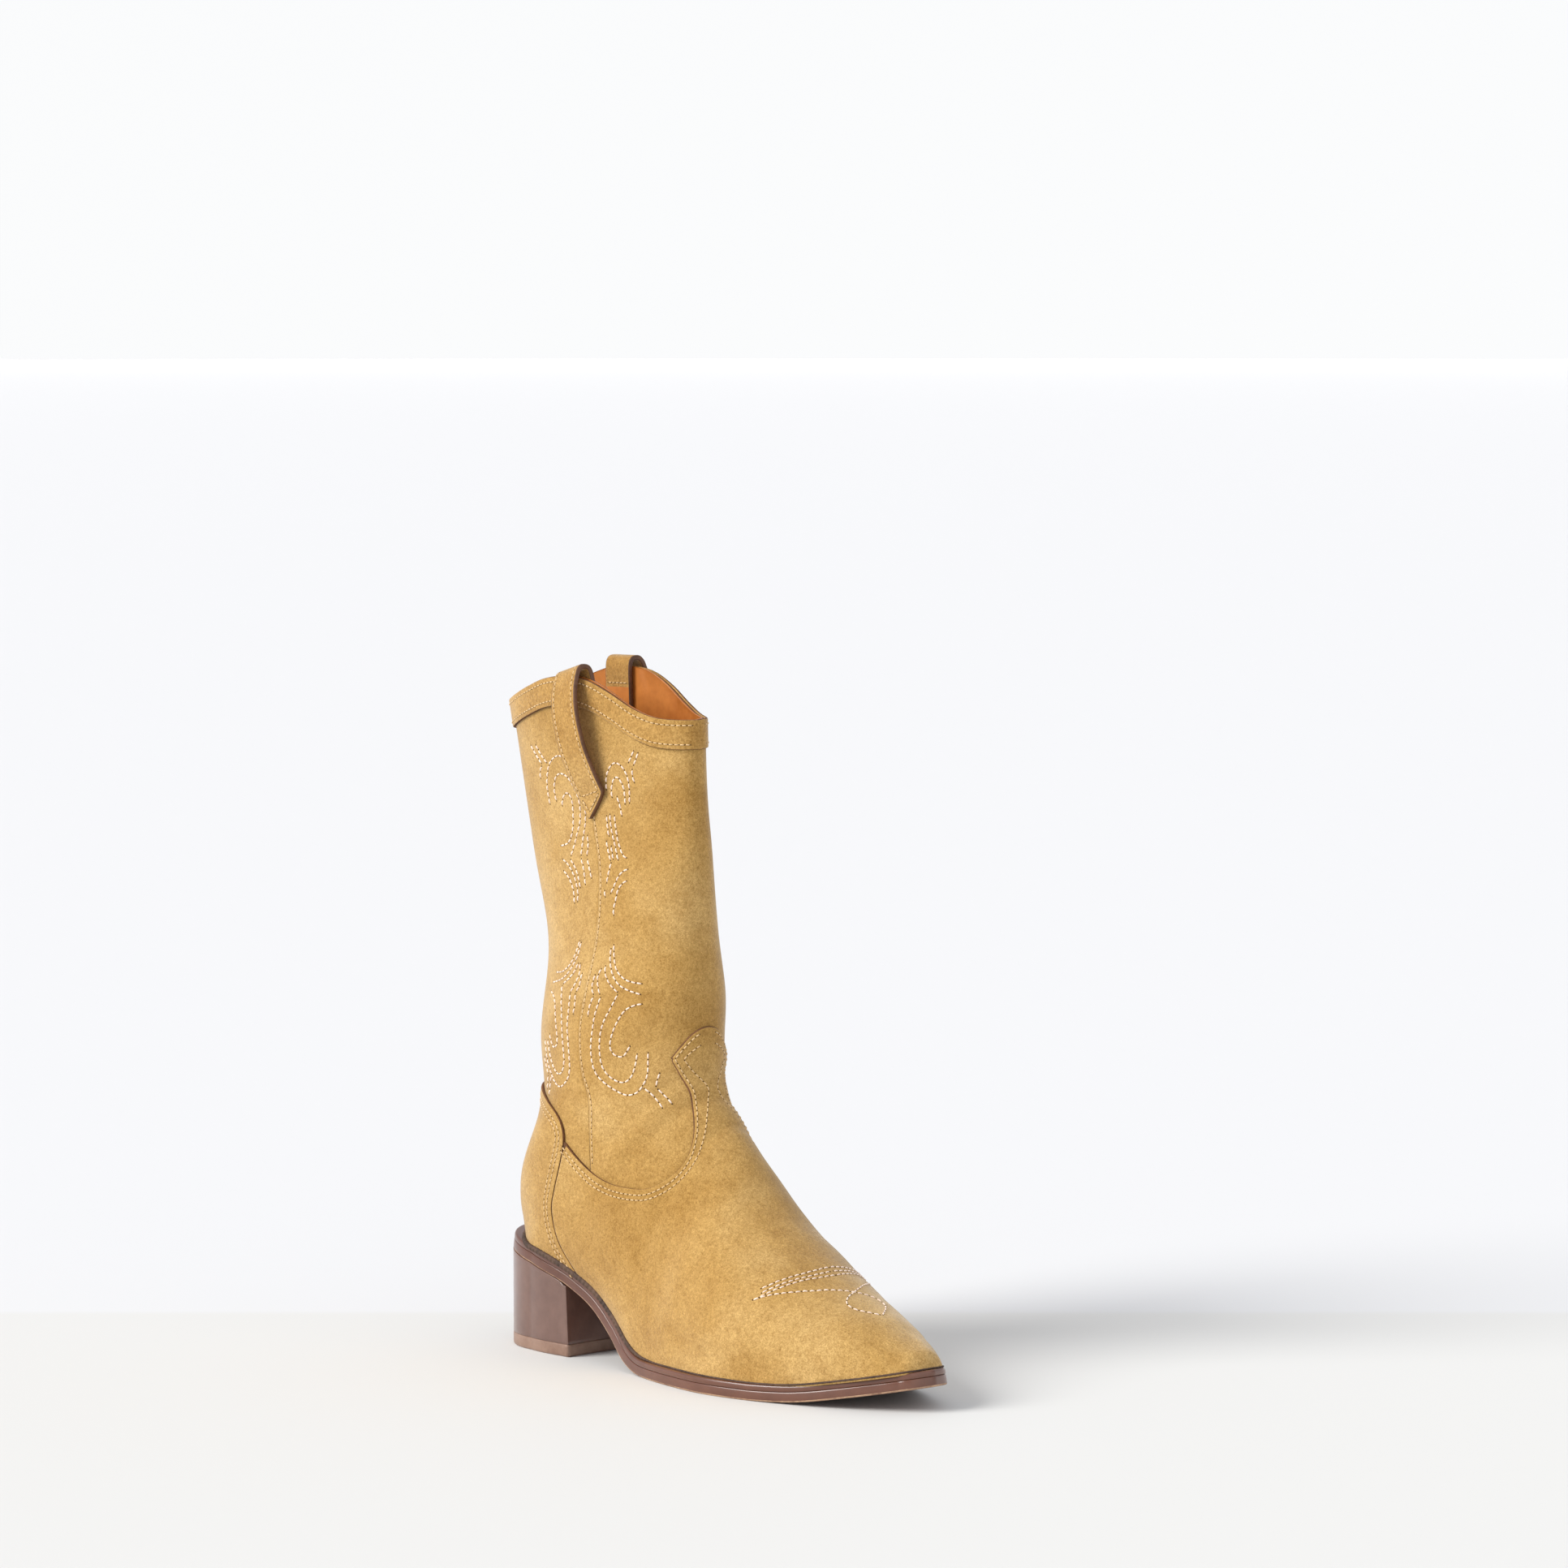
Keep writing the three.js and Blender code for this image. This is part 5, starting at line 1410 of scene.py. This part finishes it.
def build_slider():
    crown = rounded_slab("zip_slider_crown", oval(4.0, -5.5, 5.8, square=2.5, taper=0.38), 1.3, 2.7, 0.45,
                         antique_brass, "zip_slider")
    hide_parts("zip_slider")
    for name, sign in (("zip_slider_flange_left", -1), ("zip_slider_flange_right", 1)):
        low, high = sorted((sign * 2.9, sign * 3.7))
        outline = [[low, -2.6], [high, -2.6], [high, 3.2], [low, 3.2]]
        rounded_slab(name, outline, -0.3, 1.6, 0.2, antique_brass, "zip_slider")
    bridge = [[-3.9, 2.4], [-3.9, 3.9], [-2.4, 5.3], [0.8, 6.0], [3.6, 6.0], [4.9, 4.6], [4.9, 2.4]]
    tube("zip_slider_bridge", bridge, 1.9, 1.0, antique_brass, "zip_slider")
    loop = rounded_slab("zip_puller", oval(3.5, -9.6, 3.9, square=3.2), 3.5, 4.7, 0.35, puller_metal,
                        "zip_puller", hole=oval(1.5, -7.6, 2.3, square=3.0))
    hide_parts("zip_puller")
    rounded_slab("zip_puller_tab", oval(3.6, -21.5, -8.9, square=6), 3.55, 4.65, 0.35, puller_metal,
                 "zip_puller")
    rounded_slab("zip_puller_grip", oval(3.2, -25.5, -20.4, square=4), 3.5, 4.7, 0.35, puller_metal,
                 "zip_puller", hole=oval(1.7, -24.0, -22.0, square=4))
    rounded_slab("zip_puller_field", oval(2.3, -19.6, -10.8, square=7), 4.4, 4.85, 0.15, antique_brass,
                 "zip_puller")
    spot, face, _, across = box_frame(np.linspace(0.985, 1.004, 5), 0.1)
    vertices = []
    for k in range(5):
        for a in range(12):
            angle = 2 * math.pi * a / 12
            c, s = math.cos(angle), math.sin(angle)
            wide = TEETH_HALF * math.copysign(abs(c) ** 0.5, c)
            tall = 0.75 * math.copysign(abs(s) ** 0.6, s)
            vertices.append(spot[k] + across[k] * wide + face[k] * tall)
    new_mesh("zip_bottom_stop", np.array(vertices), tube_faces(12, 5), [antique_brass],
             replaces=["zip_bottom_stop"])


# ---------------------------------------------------------------- camera, floor and light
VIEW_YAW = math.radians(48.5)
VIEW_PITCH = math.radians(4.6)
VIEW_HEIGHT = 0.467
VIEW_AHEAD = 2.69769        # metres along the view to the heel back
VIEW_ASIDE = -0.11054       # metres to the right of the view's middle
VIEW_LENS = 138.4           # millimetres, on a 36 mm wide sensor
WALL_DISTANCE = 2.758       # metres from the camera to the far edge of the near floor
FLOOR_REACH = 60
BACKDROP_RADIUS = 45
BACKDROP_HEIGHT = 9

ahead = Vector((-math.sin(VIEW_YAW), math.cos(VIEW_YAW), 0))
aside = Vector((math.cos(VIEW_YAW), math.sin(VIEW_YAW), 0))


def build_camera():
    data = bpy.data.cameras.new("camera")
    data.lens = VIEW_LENS
    data.sensor_width = 36
    data.clip_end = 100
    camera = bpy.data.objects.new("camera", data)
    bpy.context.scene.collection.objects.link(camera)
    heel = Vector(to_row([0, 0, 0]))
    camera.location = heel - ahead * VIEW_AHEAD - aside * VIEW_ASIDE
    camera.location.z = VIEW_HEIGHT
    look = ahead * math.cos(VIEW_PITCH) - Vector((0, 0, math.sin(VIEW_PITCH)))
    camera.rotation_euler = look.to_track_quat("-Z", "Y").to_euler()
    bpy.context.scene.camera = camera
    return camera


def stage_mesh(name, vertices, faces, material):
    mesh = bpy.data.meshes.new(name)
    mesh.from_pydata(vertices, [], faces)
    mesh.materials.append(material)
    piece = bpy.data.objects.new(name, mesh)
    bpy.context.scene.collection.objects.link(piece)


def build_floor(camera):
    """A pale floor, a little lighter beyond the line where the photo's wall starts."""
    material, nodes, links, shader = principled("floor", (0.80, 0.81, 0.79), 0.7, Specular_IOR_Level=0.08)
    place = nodes.new("ShaderNodeTexCoord")
    dot = nodes.new("ShaderNodeVectorMath")
    dot.operation = "DOT_PRODUCT"
    dot.inputs[1].default_value = ahead
    links.new(place.outputs["Object"], dot.inputs[0])
    step = nodes.new("ShaderNodeMapRange")
    edge = camera.location.dot(ahead) + WALL_DISTANCE
    step.inputs["From Min"].default_value = edge - 0.006
    step.inputs["From Max"].default_value = edge + 0.006
    links.new(dot.outputs["Value"], step.inputs["Value"])
    tones = [(0.0, (0.775, 0.77, 0.75)), (1.0, (0.80, 0.80, 0.805))]
    colour = ramp(nodes, links, step.outputs["Result"], tones)
    links.new(colour, shader.inputs["Base Color"])
    reach = FLOOR_REACH
    corners = [(-reach, -reach, 0), (reach, -reach, 0), (reach, reach, 0), (-reach, reach, 0)]
    stage_mesh("floor", corners, [(0, 1, 2, 3)], material)


def build_backdrop():
    """A low, far ring of soft white light all round."""
    backdrop = bpy.data.materials.new("backdrop")
    backdrop.use_nodes = True
    glow = backdrop.node_tree.nodes["Principled BSDF"]
    glow.inputs["Base Color"].default_value = (0, 0, 0, 1)
    glow.inputs["Emission Color"].default_value = (0.955, 0.962, 0.968, 1)
    glow.inputs["Emission Strength"].default_value = 0.97
    steps = 96
    vertices = []
    for height in (-0.5, BACKDROP_HEIGHT):
        for k in range(steps):
            angle = 2 * math.pi * k / steps
            vertices.append((BACKDROP_RADIUS * math.cos(angle), BACKDROP_RADIUS * math.sin(angle), height))
    stage_mesh("backdrop", vertices, strip_faces(steps, 2), backdrop)


def build_light():
    world = bpy.data.worlds.new("studio")
    bpy.context.scene.world = world
    world.use_nodes = True
    background = world.node_tree.nodes["Background"]
    background.inputs["Color"].default_value = (0.93, 0.95, 1.0, 1)
    background.inputs["Strength"].default_value = 0.64
    for name, direction, strength, angle, tint in (
        ("key", -aside * 1.0 - ahead * 0.40 + Vector((0, 0, 0.72)), 3.0, 32, (1.0, 0.985, 0.96)),
        ("fill", aside * 0.7 - ahead * 1.0 + Vector((0, 0, 0.8)), 0.35, 60, (0.96, 0.98, 1.0)),
    ):
        data = bpy.data.lights.new(name, "SUN")
        data.energy = strength
        data.angle = math.radians(angle)
        data.color = tint
        lamp = bpy.data.objects.new(name, data)
        bpy.context.scene.collection.objects.link(lamp)
        lamp.rotation_euler = direction.to_track_quat("Z", "Y").to_euler()
    bpy.context.scene.view_settings.view_transform = "Standard"


camera = build_camera()
build_upper()
build_sole()
build_heel()
build_rand()
seams = build_stitching()
build_strap("pull_strap_lateral", -1, [47.5, 301], [64.5, 240.5], -4, 4.2, 34, seams, cross_box=False)
build_strap("pull_strap_medial", 1, [40, 304], [41, 242.5], 0, 5.2, 34, seams, cross_box=True)
seams.finish("seam_stitching", seam_thread, "rand_thread")
build_zip()
build_slider()
build_floor(camera)
build_backdrop()
build_light()
